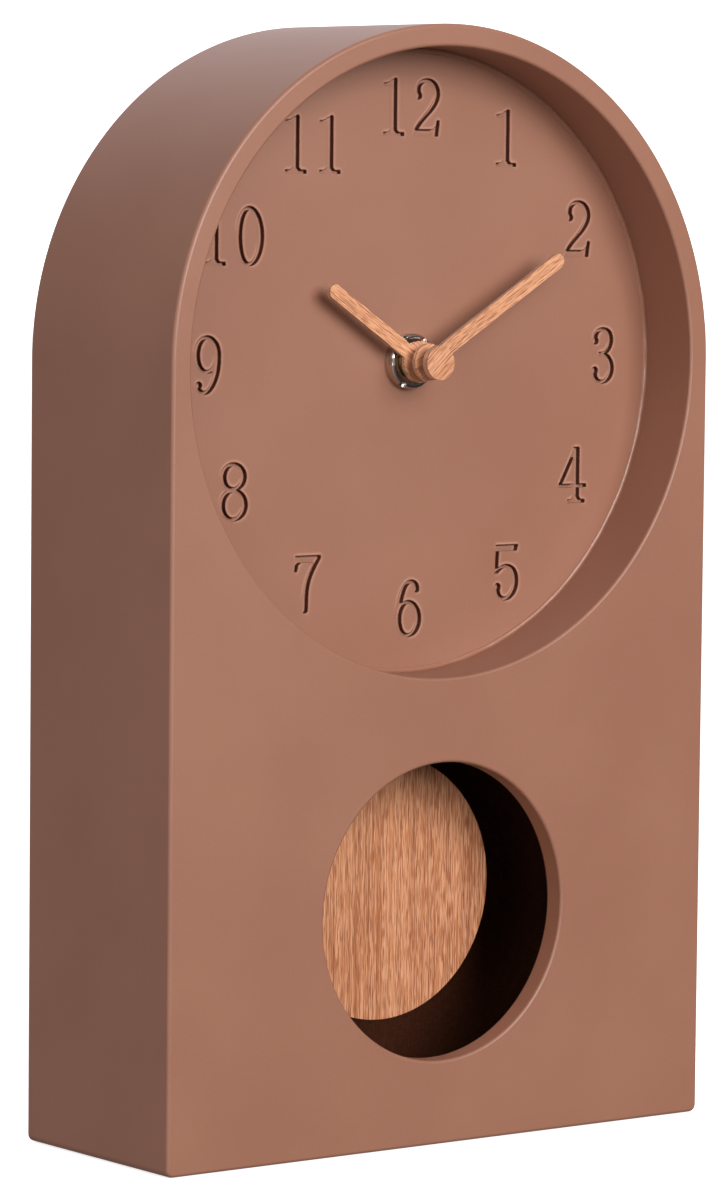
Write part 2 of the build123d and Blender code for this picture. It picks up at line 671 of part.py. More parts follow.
# Movement box: a tray with the train in the middle, the battery above and the hanger below
with BuildPart() as movement_case:
    block((-box_half - PLATE_THICKNESS, box_low), (box_half + PLATE_THICKNESS, box_high),
          movement_front, cover_back, corner=MOVEMENT_CORNER)
    block((-box_half, box_floor), (box_half, bay_wall_low), movement_floor, cover_back, Mode.SUBTRACT)
    block((-box_half, bay_low), (box_half, bay_high), movement_floor, cover_back, Mode.SUBTRACT)
    block((-slot_half, box_low), (slot_half, box_floor), hub_front, cover_back, Mode.SUBTRACT)
    disc(shaft, BUSH_RADIUS + PRESS_FIT, movement_front, movement_floor, Mode.SUBTRACT)
    for column in columns:
        disc(column, COLUMN_RADIUS, movement_floor, plate_front)
    for boss in cover_bosses:
        disc(boss, MOVEMENT_BOSS_RADIUS, movement_floor, cover_front)
    for boss in cover_bosses:
        disc(boss, MOVEMENT_SCREW_RADIUS + PRESS_FIT, cover_back - MOVEMENT_SCREW_LENGTH - LOOSE_FIT,
             cover_front, Mode.SUBTRACT)
    disc(minute_axis, POST_RADIUS, movement_floor, minute_layer[1])
    disc(setting_axis, COLUMN_RADIUS, movement_floor, knob_seat)
    pivot_hole(setting_axis, knob_seat - PIVOT_LENGTH - END_PLAY, knob_seat)
    pivot_hole(third_axis, movement_floor - PIVOT_LENGTH - END_PLAY, movement_floor)
    disc(pivot_axis, HANGER_HUB_RADIUS, movement_floor, hub_front - END_PLAY)
    disc(pivot_axis, PIVOT_PIN_RADIUS + PRESS_FIT, movement_floor, hub_front - END_PLAY, Mode.SUBTRACT)

# Middle plate: rests on the four columns and carries the inner pivots and the motor
with BuildPart() as middle_plate:
    block((-box_half + LOOSE_FIT, middle_plate_low), (box_half - LOOSE_FIT, bay_wall_low - LOOSE_FIT),
          plate_front, plate_back)
    for height in (arm_low, arm_high):
        block((coil_x - CORE_WIDTH / 2, height - arm_half), (coil_x + CORE_WIDTH / 2, height + arm_half),
              plate_back, core_front)
    disc(third_axis, ARBOR_RADIUS + RUNNING_FIT, plate_front, plate_back, Mode.SUBTRACT)
    disc(setting_axis, KNOB_SHAFT_RADIUS + LOOSE_FIT, plate_front, plate_back, Mode.SUBTRACT)
    pivot_hole(shaft, plate_front, plate_front + PIVOT_LENGTH + END_PLAY)
    for axis in (shaft, intermediate_axis, rotor_axis):
        pivot_hole(axis, plate_back - PIVOT_LENGTH - END_PLAY, plate_back)

# Cover: closes the train and the hanger, and leaves the battery bay open to the back
with BuildPart() as movement_cover:
    block((-box_half + PRESS_FIT, box_floor + PRESS_FIT), (box_half - PRESS_FIT, bay_wall_low - PRESS_FIT),
          cover_front, cover_back)
    disc(pivot_axis, HANGER_HUB_RADIUS, hub_back + END_PLAY, cover_front)
    disc(pivot_axis, PIVOT_PIN_RADIUS + PRESS_FIT, hub_back + END_PLAY, cover_front, Mode.SUBTRACT)
    disc(setting_axis, KNOB_SHAFT_RADIUS + RUNNING_FIT, cover_front, cover_back, Mode.SUBTRACT)
    for axis in (shaft, third_axis, intermediate_axis, rotor_axis):
        pivot_hole(axis, cover_front, cover_front + PIVOT_LENGTH + END_PLAY)
    for boss in cover_bosses:
        disc(boss, MOVEMENT_SCREW_RADIUS + LOOSE_FIT, cover_front, cover_back, Mode.SUBTRACT)

with BuildPart() as movement_screws:
    for boss in cover_bosses:
        pan_screw(boss, cover_back, MOVEMENT_SCREW_RADIUS, MOVEMENT_SCREW_LENGTH,
                  MOVEMENT_SCREW_HEAD_RADIUS, MOVEMENT_SCREW_HEAD_HEIGHT)

# Motion work: the minute shaft turns in the hour pipe, which turns in the bush
with BuildPart() as minute_shaft:
    gear(CANNON_LEAVES, cannon_module, shaft, 0, minute_layer)
    disc(shaft, MINUTE_SHAFT_RADIUS, cap_back + END_PLAY, plate_front - END_PLAY)
    disc(shaft, PIVOT_RADIUS, plate_front - END_PLAY, plate_front + PIVOT_LENGTH)

with BuildPart() as hour_wheel:
    gear(HOUR_TEETH, hour_module, shaft, hour_phase, hour_layer)
    disc(shaft, HOUR_PIPE_RADIUS, hour_hand_front, hour_layer[0])
    disc(shaft, MINUTE_SHAFT_RADIUS + RUNNING_FIT, hour_hand_front, hour_layer[1], Mode.SUBTRACT)

with BuildPart() as minute_wheel:
    gear(MINUTE_LEAVES, hour_module, minute_axis, 0, (hour_layer[0], minute_layer[0]))
    gear(MINUTE_TEETH, cannon_module, minute_axis, minute_phase, minute_layer)
    disc(minute_axis, POST_RADIUS + RUNNING_FIT, hour_layer[0], minute_layer[1], Mode.SUBTRACT)

with BuildPart() as setting_knob:
    gear(SETTING_LEAVES, cannon_module, setting_axis, setting_phase, minute_layer)
    disc(setting_axis, PIVOT_RADIUS, knob_seat - PIVOT_LENGTH, minute_layer[0])
    disc(setting_axis, KNOB_SHAFT_RADIUS, minute_layer[0], cover_back + LOOSE_FIT)
    disc(setting_axis, KNOB_RADIUS, cover_back + LOOSE_FIT, cover_back + LOOSE_FIT + KNOB_THICKNESS)
    with BuildSketch(facing(cover_back + LOOSE_FIT + KNOB_THICKNESS)):
        with Locations(setting_axis):
            with PolarLocations(KNOB_RADIUS, KNOB_RIBS):
                Circle(KNOB_RIB_RADIUS)
    extrude(amount=KNOB_THICKNESS, mode=Mode.SUBTRACT)

# Train from the motor to the centre wheel, which grips the minute shaft by friction
with BuildPart() as centre_wheel:
    gear(CENTRE_TEETH, centre_module, shaft, centre_phase, centre_layer)
    disc(shaft, MINUTE_SHAFT_RADIUS + PRESS_FIT, *centre_layer, Mode.SUBTRACT)

with BuildPart() as third_wheel:
    gear(THIRD_LEAVES, centre_module, third_axis, 0, centre_layer)
    gear(THIRD_TEETH, third_module, third_axis, third_phase, third_layer)
    arbor(third_axis, movement_floor, cover_front)

with BuildPart() as seconds_wheel:
    gear(SECONDS_LEAVES, third_module, shaft, 0, (third_layer[0], seconds_layer[0]))
    gear(SECONDS_TEETH, seconds_module, shaft, seconds_phase, seconds_layer)
    arbor(shaft, plate_back, cover_front)

with BuildPart() as intermediate_wheel:
    gear(INTERMEDIATE_LEAVES, seconds_module, intermediate_axis, 0,
         (seconds_layer[0], intermediate_layer[0]))
    gear(INTERMEDIATE_TEETH, rotor_module, intermediate_axis, intermediate_phase, intermediate_layer)
    arbor(intermediate_axis, plate_back, cover_front)

with BuildPart() as rotor:
    gear(ROTOR_LEAVES, rotor_module, rotor_axis, 0, intermediate_layer)
    arbor(rotor_axis, plate_back, cover_front)

with BuildPart() as rotor_magnet:
    disc(rotor_axis, ROTOR_MAGNET_RADIUS, *magnet_layer)
    disc(rotor_axis, ARBOR_RADIUS + PRESS_FIT, *magnet_layer, Mode.SUBTRACT)

# Stepping motor: the stator closes on the core, which carries the bobbin and its winding
with BuildPart() as stator:
    with BuildSketch(facing(stator_back)):
        with BuildLine():
            Line((coil_x, arm_low), rotor_axis)
            Line(rotor_axis, (arm_corner, arm_high))
            Line((arm_corner, arm_high), (coil_x, arm_high))
        trace(line_width=STATOR_ARM_WIDTH)
        with Locations((coil_x, arm_low), (arm_corner, arm_high), (coil_x, arm_high)):
            Circle(arm_half)
        with Locations(rotor_axis):
            Circle(stator_ring)
            Circle(stator_hole, mode=Mode.SUBTRACT)
    extrude(amount=STATOR_THICKNESS)

with BuildPart() as coil_core:
    block((coil_x - CORE_WIDTH / 2, core_low), (coil_x + CORE_WIDTH / 2, core_high), core_front, core_back)

sleeve_half = CORE_WIDTH / 2 + PRESS_FIT + BOBBIN_WALL
sleeve_depth = CORE_THICKNESS / 2 + PRESS_FIT + BOBBIN_WALL
with BuildPart() as coil_bobbin:
    block((coil_x - sleeve_half, bobbin_low), (coil_x + sleeve_half, bobbin_high),
          core_middle - sleeve_depth, core_middle + sleeve_depth)
    for low in (bobbin_low, bobbin_high - BOBBIN_FLANGE):
        high = low + BOBBIN_FLANGE
        block((coil_x - bobbin_half, low), (coil_x + bobbin_half, high),
              core_middle - bobbin_half, core_middle + bobbin_half)
    block((coil_x - CORE_WIDTH / 2 - PRESS_FIT, bobbin_low),
          (coil_x + CORE_WIDTH / 2 + PRESS_FIT, bobbin_high),
          core_front - PRESS_FIT, core_back + PRESS_FIT, Mode.SUBTRACT)

winding_half = bobbin_half - WINDING_MARGIN
winding_low = bobbin_low + BOBBIN_FLANGE
winding_high = bobbin_high - BOBBIN_FLANGE
with BuildPart() as coil_winding:
    block((coil_x - winding_half, winding_low), (coil_x + winding_half, winding_high),
          core_middle - winding_half, core_middle + winding_half)
    block((coil_x - sleeve_half, winding_low), (coil_x + sleeve_half, winding_high),
          core_middle - sleeve_depth, core_middle + sleeve_depth, Mode.SUBTRACT)

# Battery across the top bay, with a leaf contact at each end
battery_left = -box_half + CONTACT_SPACE
battery_right = battery_left + BATTERY_LENGTH
battery_plane = Plane(origin=(battery_left, battery_depth - CASE_DEPTH / 2, battery_axis[1]),
                      x_dir=(0, 1, 0), z_dir=(1, 0, 0))
with BuildPart() as battery:
    with BuildSketch(battery_plane):
        Circle(BATTERY_DIAMETER / 2)
    extrude(amount=BATTERY_LENGTH - BATTERY_NUB_LENGTH)
    with BuildSketch(battery_plane.offset(BATTERY_LENGTH - BATTERY_NUB_LENGTH)):
        Circle(BATTERY_NUB_RADIUS)
    extrude(amount=BATTERY_NUB_LENGTH)

contact_front = battery_depth - CONTACT_WIDTH / 2
contact_back = battery_depth + CONTACT_WIDTH / 2
contact_low = battery_axis[1] - CONTACT_HEIGHT / 2
contact_high = battery_axis[1] + CONTACT_HEIGHT / 2


def leaf_contact(wall, tip):
    """Bent leaf: a foot flat on the bay's end wall and a bowed tongue that reaches to the cell."""
    inward = 1 if tip > wall else -1
    foot = wall + inward * CONTACT_THICKNESS
    face = tip - inward * CONTACT_THICKNESS
    block((min(wall, foot), contact_low), (max(wall, foot), contact_high), contact_front, contact_back)
    middle = battery_axis[1]
    tongue = CONTACT_TONGUE / 2
    with BuildSketch(facing(contact_back)) as outline:
        with BuildLine():
            Polyline((foot, contact_low), (tip, middle - tongue), (tip, middle + tongue),
                     (face, middle + tongue), (face, middle - tongue),
                     (foot, contact_low + CONTACT_THICKNESS), close=True)
        make_face()
    extrude(outline.sketch, amount=CONTACT_WIDTH)


with BuildPart() as battery_contact_negative:
    leaf_contact(-box_half, battery_left)

with BuildPart() as battery_contact_positive:
    leaf_contact(box_half, battery_right)

# Electronics on posts beside the hanger
board_right = boss_x - MOVEMENT_BOSS_RADIUS - LOOSE_FIT
board_left = board_right - BOARD_WIDTH
board_high = middle_plate_low - WALL_ROOM
board_low = board_high - BOARD_HEIGHT
board_front = movement_floor + BOARD_DEPTH
board_back = board_front + BOARD_THICKNESS
with BuildPart() as circuit_board:
    block((board_left, board_low), (board_right, board_high), board_front, board_back)
    for height in (board_low + POST_RADIUS, board_high - POST_RADIUS):
        disc((board_right - BOARD_WIDTH / 2, height), POST_RADIUS, movement_floor, board_front)

crystal_plane = Plane(origin=(board_left + BOARD_WIDTH / 4,
                              board_back + CRYSTAL_RADIUS - CASE_DEPTH / 2,
                              board_low + BOARD_HEIGHT / 4 - CRYSTAL_LENGTH / 2), z_dir=(0, 0, 1))
with BuildPart() as quartz_crystal:
    with BuildSketch(crystal_plane):
        Circle(CRYSTAL_RADIUS)
    extrude(amount=CRYSTAL_LENGTH)

chip_middle = (board_left + BOARD_WIDTH / 2, board_low + BOARD_HEIGHT * 2 / 3)
with BuildPart() as control_chip:
    block((chip_middle[0] - CHIP_SIZE / 2, chip_middle[1] - CHIP_SIZE / 2),
          (chip_middle[0] + CHIP_SIZE / 2, chip_middle[1] + CHIP_SIZE / 2),
          board_back, board_back + CHIP_THICKNESS)

with BuildPart() as pendulum_coil:
    disc(magnet_axis, DRIVE_COIL_RADIUS, movement_floor, movement_floor + DRIVE_COIL_LENGTH)
    disc(magnet_axis, DRIVE_COIL_HOLE, movement_floor, movement_floor + DRIVE_COIL_LENGTH, Mode.SUBTRACT)

# Pendulum: hanger on its pin, then the rod, the clip and the bob
with BuildPart() as pivot_pin:
    disc(pivot_axis, PIVOT_PIN_RADIUS, movement_floor, cover_front)

hanger_low = hook_axis[1] - HANGER_END
with BuildPart() as pendulum_hanger:
    disc(pivot_axis, HANGER_HUB_RADIUS, hub_front, hub_back)
    block((-HANGER_WIDTH / 2, hanger_low), (HANGER_WIDTH / 2, pivot_axis[1]), hanger_front, hanger_back)
    disc(magnet_axis, MAGNET_RADIUS + RIM_ROUND, hanger_front, hanger_back)
    disc(hook_axis, HOOK_PIN_RADIUS, rod_front, hanger_front)
    disc(pivot_axis, PIVOT_PIN_RADIUS + RUNNING_FIT, hub_front, hub_back, Mode.SUBTRACT)

with BuildPart() as pendulum_magnet:
    disc(magnet_axis, MAGNET_RADIUS, magnet_front, hanger_front)

clip_low = bob_height - CLIP_HEIGHT / 2
clip_high = bob_height + CLIP_HEIGHT / 2
rod_low = clip_low + CLIP_STOP
with BuildPart() as pendulum_rod:
    block((-ROD_WIDTH / 2, rod_low), (ROD_WIDTH / 2, hook_axis[1]), rod_front, rod_back)
    disc(hook_axis, ROD_HEAD, rod_front, rod_back)
    disc(hook_axis, HOOK_PIN_RADIUS + RUNNING_FIT, rod_front, rod_back, Mode.SUBTRACT)

with BuildPart() as bob_clip:
    block((-CLIP_WIDTH / 2, clip_low), (CLIP_WIDTH / 2, clip_high),
          bob_back, rod_back + PRESS_FIT + CLIP_WALL)
    block((-ROD_WIDTH / 2 - PRESS_FIT, rod_low), (ROD_WIDTH / 2 + PRESS_FIT, clip_high),
          rod_front, rod_back + PRESS_FIT, Mode.SUBTRACT)

with BuildPart() as pendulum_bob:
    disc((0, bob_height), bob_radius, bob_front, bob_back)

# Hands: metal blades with an oak face, and the round cap on the end of the minute shaft
with BuildPart() as hour_hand:
    blade_front = hour_hand_front + VENEER_THICKNESS
    blade_back = blade_front + BLADE_THICKNESS
    hand_strip(HOUR_HAND_LENGTH, HOUR_HAND_ANGLE, HOUR_HUB_RADIUS, blade_front, blade_back)
    disc(shaft, HOUR_PIPE_RADIUS + COLLET_WALL, blade_back, blade_back + COLLET_LENGTH)
    disc(shaft, HOUR_PIPE_RADIUS + PRESS_FIT, blade_front, blade_back + COLLET_LENGTH, Mode.SUBTRACT)

with BuildPart() as hour_hand_veneer:
    hand_strip(HOUR_HAND_LENGTH, HOUR_HAND_ANGLE, HOUR_HUB_RADIUS,
               hour_hand_front, hour_hand_front + VENEER_THICKNESS)
    disc(shaft, HOUR_PIPE_RADIUS + PRESS_FIT, hour_hand_front, hour_hand_front + VENEER_THICKNESS,
         Mode.SUBTRACT)

with BuildPart() as minute_hand:
    blade_front = minute_hand_front + VENEER_THICKNESS
    blade_back = blade_front + BLADE_THICKNESS
    hand_strip(MINUTE_HAND_LENGTH, MINUTE_HAND_ANGLE, MINUTE_HUB_RADIUS, blade_front, blade_back)
    disc(shaft, MINUTE_SHAFT_RADIUS + COLLET_WALL, blade_back, blade_back + COLLET_LENGTH)
    disc(shaft, MINUTE_SHAFT_RADIUS + PRESS_FIT, blade_front, blade_back + COLLET_LENGTH, Mode.SUBTRACT)

with BuildPart() as minute_hand_veneer:
    hand_strip(MINUTE_HAND_LENGTH, MINUTE_HAND_ANGLE, MINUTE_HUB_RADIUS,
               minute_hand_front, minute_hand_front + VENEER_THICKNESS)
    disc(shaft, MINUTE_SHAFT_RADIUS + PRESS_FIT, minute_hand_front, minute_hand_front + VENEER_THICKNESS,
         Mode.SUBTRACT)

with BuildPart() as hand_cap:
    disc(shaft, CAP_RADIUS, cap_front + VENEER_THICKNESS, cap_back)
    disc(shaft, MINUTE_SHAFT_RADIUS + CAP_STEM_WALL, cap_back, minute_hand_front)
    disc(shaft, MINUTE_SHAFT_RADIUS + PRESS_FIT, cap_back, minute_hand_front, Mode.SUBTRACT)

with BuildPart() as hand_cap_veneer:
    disc(shaft, CAP_RADIUS, cap_front, cap_front + VENEER_THICKNESS)

pieces = {
    "case_shell": case_shell, "dial": dial, "back_panel": back_panel,
    "back_panel_screws": back_panel_screws,
    "threaded_bush": threaded_bush, "rubber_washer": rubber_washer, "ring_nut": ring_nut,
    "movement_case": movement_case, "middle_plate": middle_plate, "movement_cover": movement_cover,
    "movement_screws": movement_screws, "minute_shaft": minute_shaft, "hour_wheel": hour_wheel,
    "minute_wheel": minute_wheel, "setting_knob": setting_knob, "centre_wheel": centre_wheel,
    "third_wheel": third_wheel, "seconds_wheel": seconds_wheel, "intermediate_wheel": intermediate_wheel,
    "rotor": rotor, "rotor_magnet": rotor_magnet, "stator": stator, "coil_core": coil_core,
    "coil_bobbin": coil_bobbin, "coil_winding": coil_winding, "battery": battery,
    "battery_contact_negative": battery_contact_negative,
    "battery_contact_positive": battery_contact_positive,
    "circuit_board": circuit_board, "quartz_crystal": quartz_crystal, "control_chip": control_chip,
    "pendulum_coil": pendulum_coil, "pivot_pin": pivot_pin, "pendulum_hanger": pendulum_hanger,
    "pendulum_magnet": pendulum_magnet, "pendulum_rod": pendulum_rod, "bob_clip": bob_clip,
    "pendulum_bob": pendulum_bob, "hour_hand": hour_hand, "hour_hand_veneer": hour_hand_veneer,
    "minute_hand": minute_hand, "minute_hand_veneer": minute_hand_veneer, "hand_cap": hand_cap,
    "hand_cap_veneer": hand_cap_veneer,
}
for name, piece in pieces.items():
    piece.part.label = name
    export_step(piece.part, f"parts/{name}.step")
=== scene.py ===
"""Looks of a desk pendulum clock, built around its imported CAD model.

The sections follow the clock as it is put together: case, dial, back, centre fixing, movement, battery,
pendulum and hands, and then the studio and the camera. Lengths are in metres, in the CAD frame.
"""
import json
import math

import bpy
from mathutils import Matrix, Vector

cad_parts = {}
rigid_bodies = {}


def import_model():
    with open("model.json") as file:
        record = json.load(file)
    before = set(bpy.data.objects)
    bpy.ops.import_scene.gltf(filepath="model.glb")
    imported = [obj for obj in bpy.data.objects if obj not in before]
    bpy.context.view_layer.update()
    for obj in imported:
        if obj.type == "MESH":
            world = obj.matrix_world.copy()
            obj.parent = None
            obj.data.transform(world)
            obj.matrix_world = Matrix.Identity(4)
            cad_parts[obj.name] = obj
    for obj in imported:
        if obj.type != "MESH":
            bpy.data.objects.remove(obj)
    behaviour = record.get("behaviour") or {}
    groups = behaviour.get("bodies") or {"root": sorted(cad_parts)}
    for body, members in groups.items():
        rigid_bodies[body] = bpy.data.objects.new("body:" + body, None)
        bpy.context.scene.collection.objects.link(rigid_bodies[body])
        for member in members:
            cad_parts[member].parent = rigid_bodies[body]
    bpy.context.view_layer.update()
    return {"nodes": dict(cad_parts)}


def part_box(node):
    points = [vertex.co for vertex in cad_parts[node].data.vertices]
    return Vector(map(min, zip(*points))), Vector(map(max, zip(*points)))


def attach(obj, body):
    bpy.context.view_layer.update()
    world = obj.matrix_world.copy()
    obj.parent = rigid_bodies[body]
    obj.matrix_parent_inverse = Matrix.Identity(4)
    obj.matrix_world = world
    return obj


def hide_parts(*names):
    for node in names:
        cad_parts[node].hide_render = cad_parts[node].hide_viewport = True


for leftover in list(bpy.data.objects):
    bpy.data.objects.remove(leftover)
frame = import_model()
nodes = frame["nodes"]

# Case: an arched box of fibreboard, milled from behind and in front for the dial and the window.
# All its edges are eased by sanding, and it is sprayed with matt brown lacquer, outside and in the recess.
# The faces inside the box are coloured near black, and show only behind the window.
MM = 0.001
SLACK = 0.01 * MM
ARC_STEPS = 256
FRONT_PANEL = 6 * MM
RECESS_WALL = 6 * MM
CAVITY_WALL = 5.8 * MM
WINDOW_MARGIN = 22.75 * MM
BASE_ROUND = 2 * MM
BASE_SEGMENTS = 6
EDGE_ROUND = 1 * MM
EDGE_SEGMENTS = 5
RIM_ROUND = 0.8 * MM
RING_WALL = 3 * MM
LEDGE = 4 * MM
LEDGE_THICKNESS = 3 * MM
OVERCUT = 2 * MM
BOSS_RADIUS = 4.5 * MM
BOSS_LENGTH = 20 * MM
BOSS_INSET = 3.5 * MM
BOSS_STEPS = 32
LOW_BOSS = 9.5 * MM
MIDDLE_BOSS = 108 * MM
UPPER_BOSS_WAY = math.radians(50)
SCREW_HOLE = 1.7 * MM
SCREW_HOLE_LENGTH = 10 * MM
SHARP_ANGLE = 35
AREA_WEIGHT = 100
case_low, case_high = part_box("case_shell")
dial_low, dial_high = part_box("dial")
panel_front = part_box("back_panel")[0].y
arch_centre = case_high.z - case_high.x
recess_radius = case_high.x - RECESS_WALL
ledge_radius = recess_radius - LEDGE
ledge_back = dial_high.y + LEDGE_THICKNESS
window_centre = (arch_centre - recess_radius) / 2
window_radius = window_centre - WINDOW_MARGIN


def pick(piece, kind, test):
    """Leaves a piece in edit mode, with the vertices or edges selected whose middle passes a test."""
    bpy.context.view_layer.objects.active = piece
    bpy.ops.object.mode_set(mode="EDIT")
    bpy.ops.mesh.select_mode(type=kind)
    bpy.ops.mesh.select_all(action="DESELECT")
    bpy.ops.object.mode_set(mode="OBJECT")
    spots = [vertex.co for vertex in piece.data.vertices]
    if kind == "VERT":
        for vertex in piece.data.vertices:
            vertex.select = test(vertex.co)
    else:
        for edge in piece.data.edges:
            first, last = edge.vertices
            edge.select = test((spots[first] + spots[last]) / 2)
    bpy.ops.object.mode_set(mode="EDIT")


def pull(x, y, z):
    """Extrudes what is selected by a step."""
    bpy.ops.mesh.extrude_region_move(TRANSFORM_OT_translate={"value": (x, y, z)})


def close(piece):
    """Merges what meets, turns all faces outwards and leaves edit mode."""
    bpy.ops.mesh.select_all(action="SELECT")
    bpy.ops.mesh.remove_doubles(threshold=SLACK / 2)
    bpy.ops.mesh.normals_make_consistent(inside=False)
    bpy.ops.object.mode_set(mode="OBJECT")
    return piece


def arch_block(name, inset, front, back):
    """Solid arch between two depths: half a circle, drawn down to the base, filled and extruded."""
    bpy.ops.object.select_all(action="DESELECT")
    bpy.ops.mesh.primitive_circle_add(vertices=ARC_STEPS, radius=case_high.x - inset,
                                      location=(0, front, arch_centre), rotation=(math.pi / 2, 0, 0))
    block = bpy.context.object
    block.name = name
    bpy.ops.object.transform_apply(location=True, rotation=True, scale=True)
    pick(block, "VERT", lambda spot: spot.z < arch_centre - SLACK)
    bpy.ops.mesh.delete(type="VERT")
    pick(block, "VERT", lambda spot: spot.z < arch_centre + SLACK)
    pull(0, 0, case_low.z + inset - arch_centre)
    bpy.ops.mesh.edge_face_add()
    bpy.ops.mesh.select_all(action="SELECT")
    bpy.ops.mesh.edge_face_add()
    pull(0, back - front, 0)
    return close(block)


def turned(name, centre, outline, steps=ARC_STEPS):
    """Lathe work: an outline of (radius, depth) points, drawn as a chain and spun about an axis along Y."""
    x, z = centre
    radius, depth = outline[0]
    bpy.ops.object.select_all(action="DESELECT")
    bpy.ops.mesh.primitive_plane_add(size=MM, location=(x + radius, depth, z))
    piece = bpy.context.object
    piece.name = name
    bpy.ops.object.transform_apply(location=True, rotation=True, scale=True)
    bpy.ops.object.mode_set(mode="EDIT")
    bpy.ops.mesh.select_all(action="SELECT")
    bpy.ops.mesh.merge(type="CENTER")
    for (radius, depth), (next_radius, next_depth) in zip(outline, outline[1:]):
        pull(next_radius - radius, next_depth - depth, 0)
    bpy.ops.mesh.select_all(action="SELECT")
    bpy.ops.mesh.spin(steps=steps, angle=2 * math.pi, center=(x, 0, z), axis=(0, 1, 0))
    return close(piece)


def join_solids(piece, other, operation):
    """Adds another solid to a piece, or cuts it away, and removes it."""
    bpy.ops.object.select_all(action="DESELECT")
    bpy.context.view_layer.objects.active = piece
    bpy.ops.object.modifier_add(type="BOOLEAN")
    modifier = piece.modifiers[-1]
    modifier.operation = operation
    modifier.solver = "EXACT"
    modifier.object = other
    bpy.ops.object.modifier_apply(modifier=modifier.name)
    bpy.data.objects.remove(other)


def smooth(piece, angle):
    """Smooth shading that breaks at sharp edges and keeps wide flat faces flat."""
    bpy.ops.object.select_all(action="DESELECT")
    piece.select_set(True)
    bpy.context.view_layer.objects.active = piece
    bpy.ops.object.shade_smooth_by_angle(angle=math.radians(angle))
    bpy.ops.object.modifier_add(type="WEIGHTED_NORMAL")
    modifier = piece.modifiers[-1]
    modifier.weight = AREA_WEIGHT
    modifier.keep_sharp = True
    bpy.ops.object.modifier_apply(modifier=modifier.name)


def eased(radius, front, size, steps=7):
    """Outline points of a hole's rounded rim, from the front face into the hole."""
    turns = [math.pi / 2 * step / steps for step in range(steps + 1)]
    return [(radius + size - size * math.sin(turn), front + size - size * math.cos(turn)) for turn in turns]


case = arch_block("case_body", 0, case_low.y, case_high.y)
pick(case, "EDGE",
     lambda spot: abs(spot.y) < SLACK and spot.z < SLACK and abs(spot.x) > case_high.x - SLACK)
bpy.ops.mesh.bevel(offset=BASE_ROUND, segments=BASE_SEGMENTS, affect="EDGES")
pick(case, "EDGE", lambda spot: abs(spot.y) > case_high.y - SLACK)
bpy.ops.mesh.bevel(offset=EDGE_ROUND, segments=EDGE_SEGMENTS, affect="EDGES")
close(case)
cavity = arch_block("cavity", CAVITY_WALL, case_low.y + FRONT_PANEL, case_high.y + OVERCUT)
join_solids(case, cavity, "DIFFERENCE")
ring_front = case_low.y + FRONT_PANEL - OVERCUT
ring_radius = recess_radius + RING_WALL
join_solids(case, turned("dial_ring", (0, arch_centre), [
    (0, ring_front), (ring_radius, ring_front), (ring_radius, ledge_back), (0, ledge_back)]), "UNION")
join_solids(case, turned("dial_recess", (0, arch_centre), [
    (0, case_low.y - OVERCUT), (recess_radius + RIM_ROUND, case_low.y - OVERCUT),
    *eased(recess_radius, case_low.y, RIM_ROUND), (recess_radius, dial_high.y), (ledge_radius, dial_high.y),
    (ledge_radius, ledge_back + OVERCUT), (0, ledge_back + OVERCUT)]), "DIFFERENCE")
window_back = case_low.y + FRONT_PANEL + OVERCUT
join_solids(case, turned("window_cut", (0, window_centre), [
    (0, case_low.y - OVERCUT), (window_radius + RIM_ROUND, case_low.y - OVERCUT),
    *eased(window_radius, case_low.y, RIM_ROUND),
    (window_radius, window_back), (0, window_back)]), "DIFFERENCE")
boss_out = recess_radius - BOSS_INSET
upper_boss_x = boss_out * math.sin(UPPER_BOSS_WAY)
upper_boss_z = arch_centre + boss_out * math.cos(UPPER_BOSS_WAY)
boss_outline = [(0, panel_front - BOSS_LENGTH), (BOSS_RADIUS, panel_front - BOSS_LENGTH),
                (BOSS_RADIUS, panel_front), (SCREW_HOLE, panel_front),
                (SCREW_HOLE, panel_front - SCREW_HOLE_LENGTH), (0, panel_front - SCREW_HOLE_LENGTH)]
for side in (-1, 1):
    for x, z in ((boss_out, LOW_BOSS), (boss_out, MIDDLE_BOSS), (upper_boss_x, upper_boss_z)):
        join_solids(case, turned("panel_boss", (side * x, z), boss_outline, BOSS_STEPS), "UNION")
smooth(case, SHARP_ANGLE)
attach(case, "case")
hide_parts("case_shell")


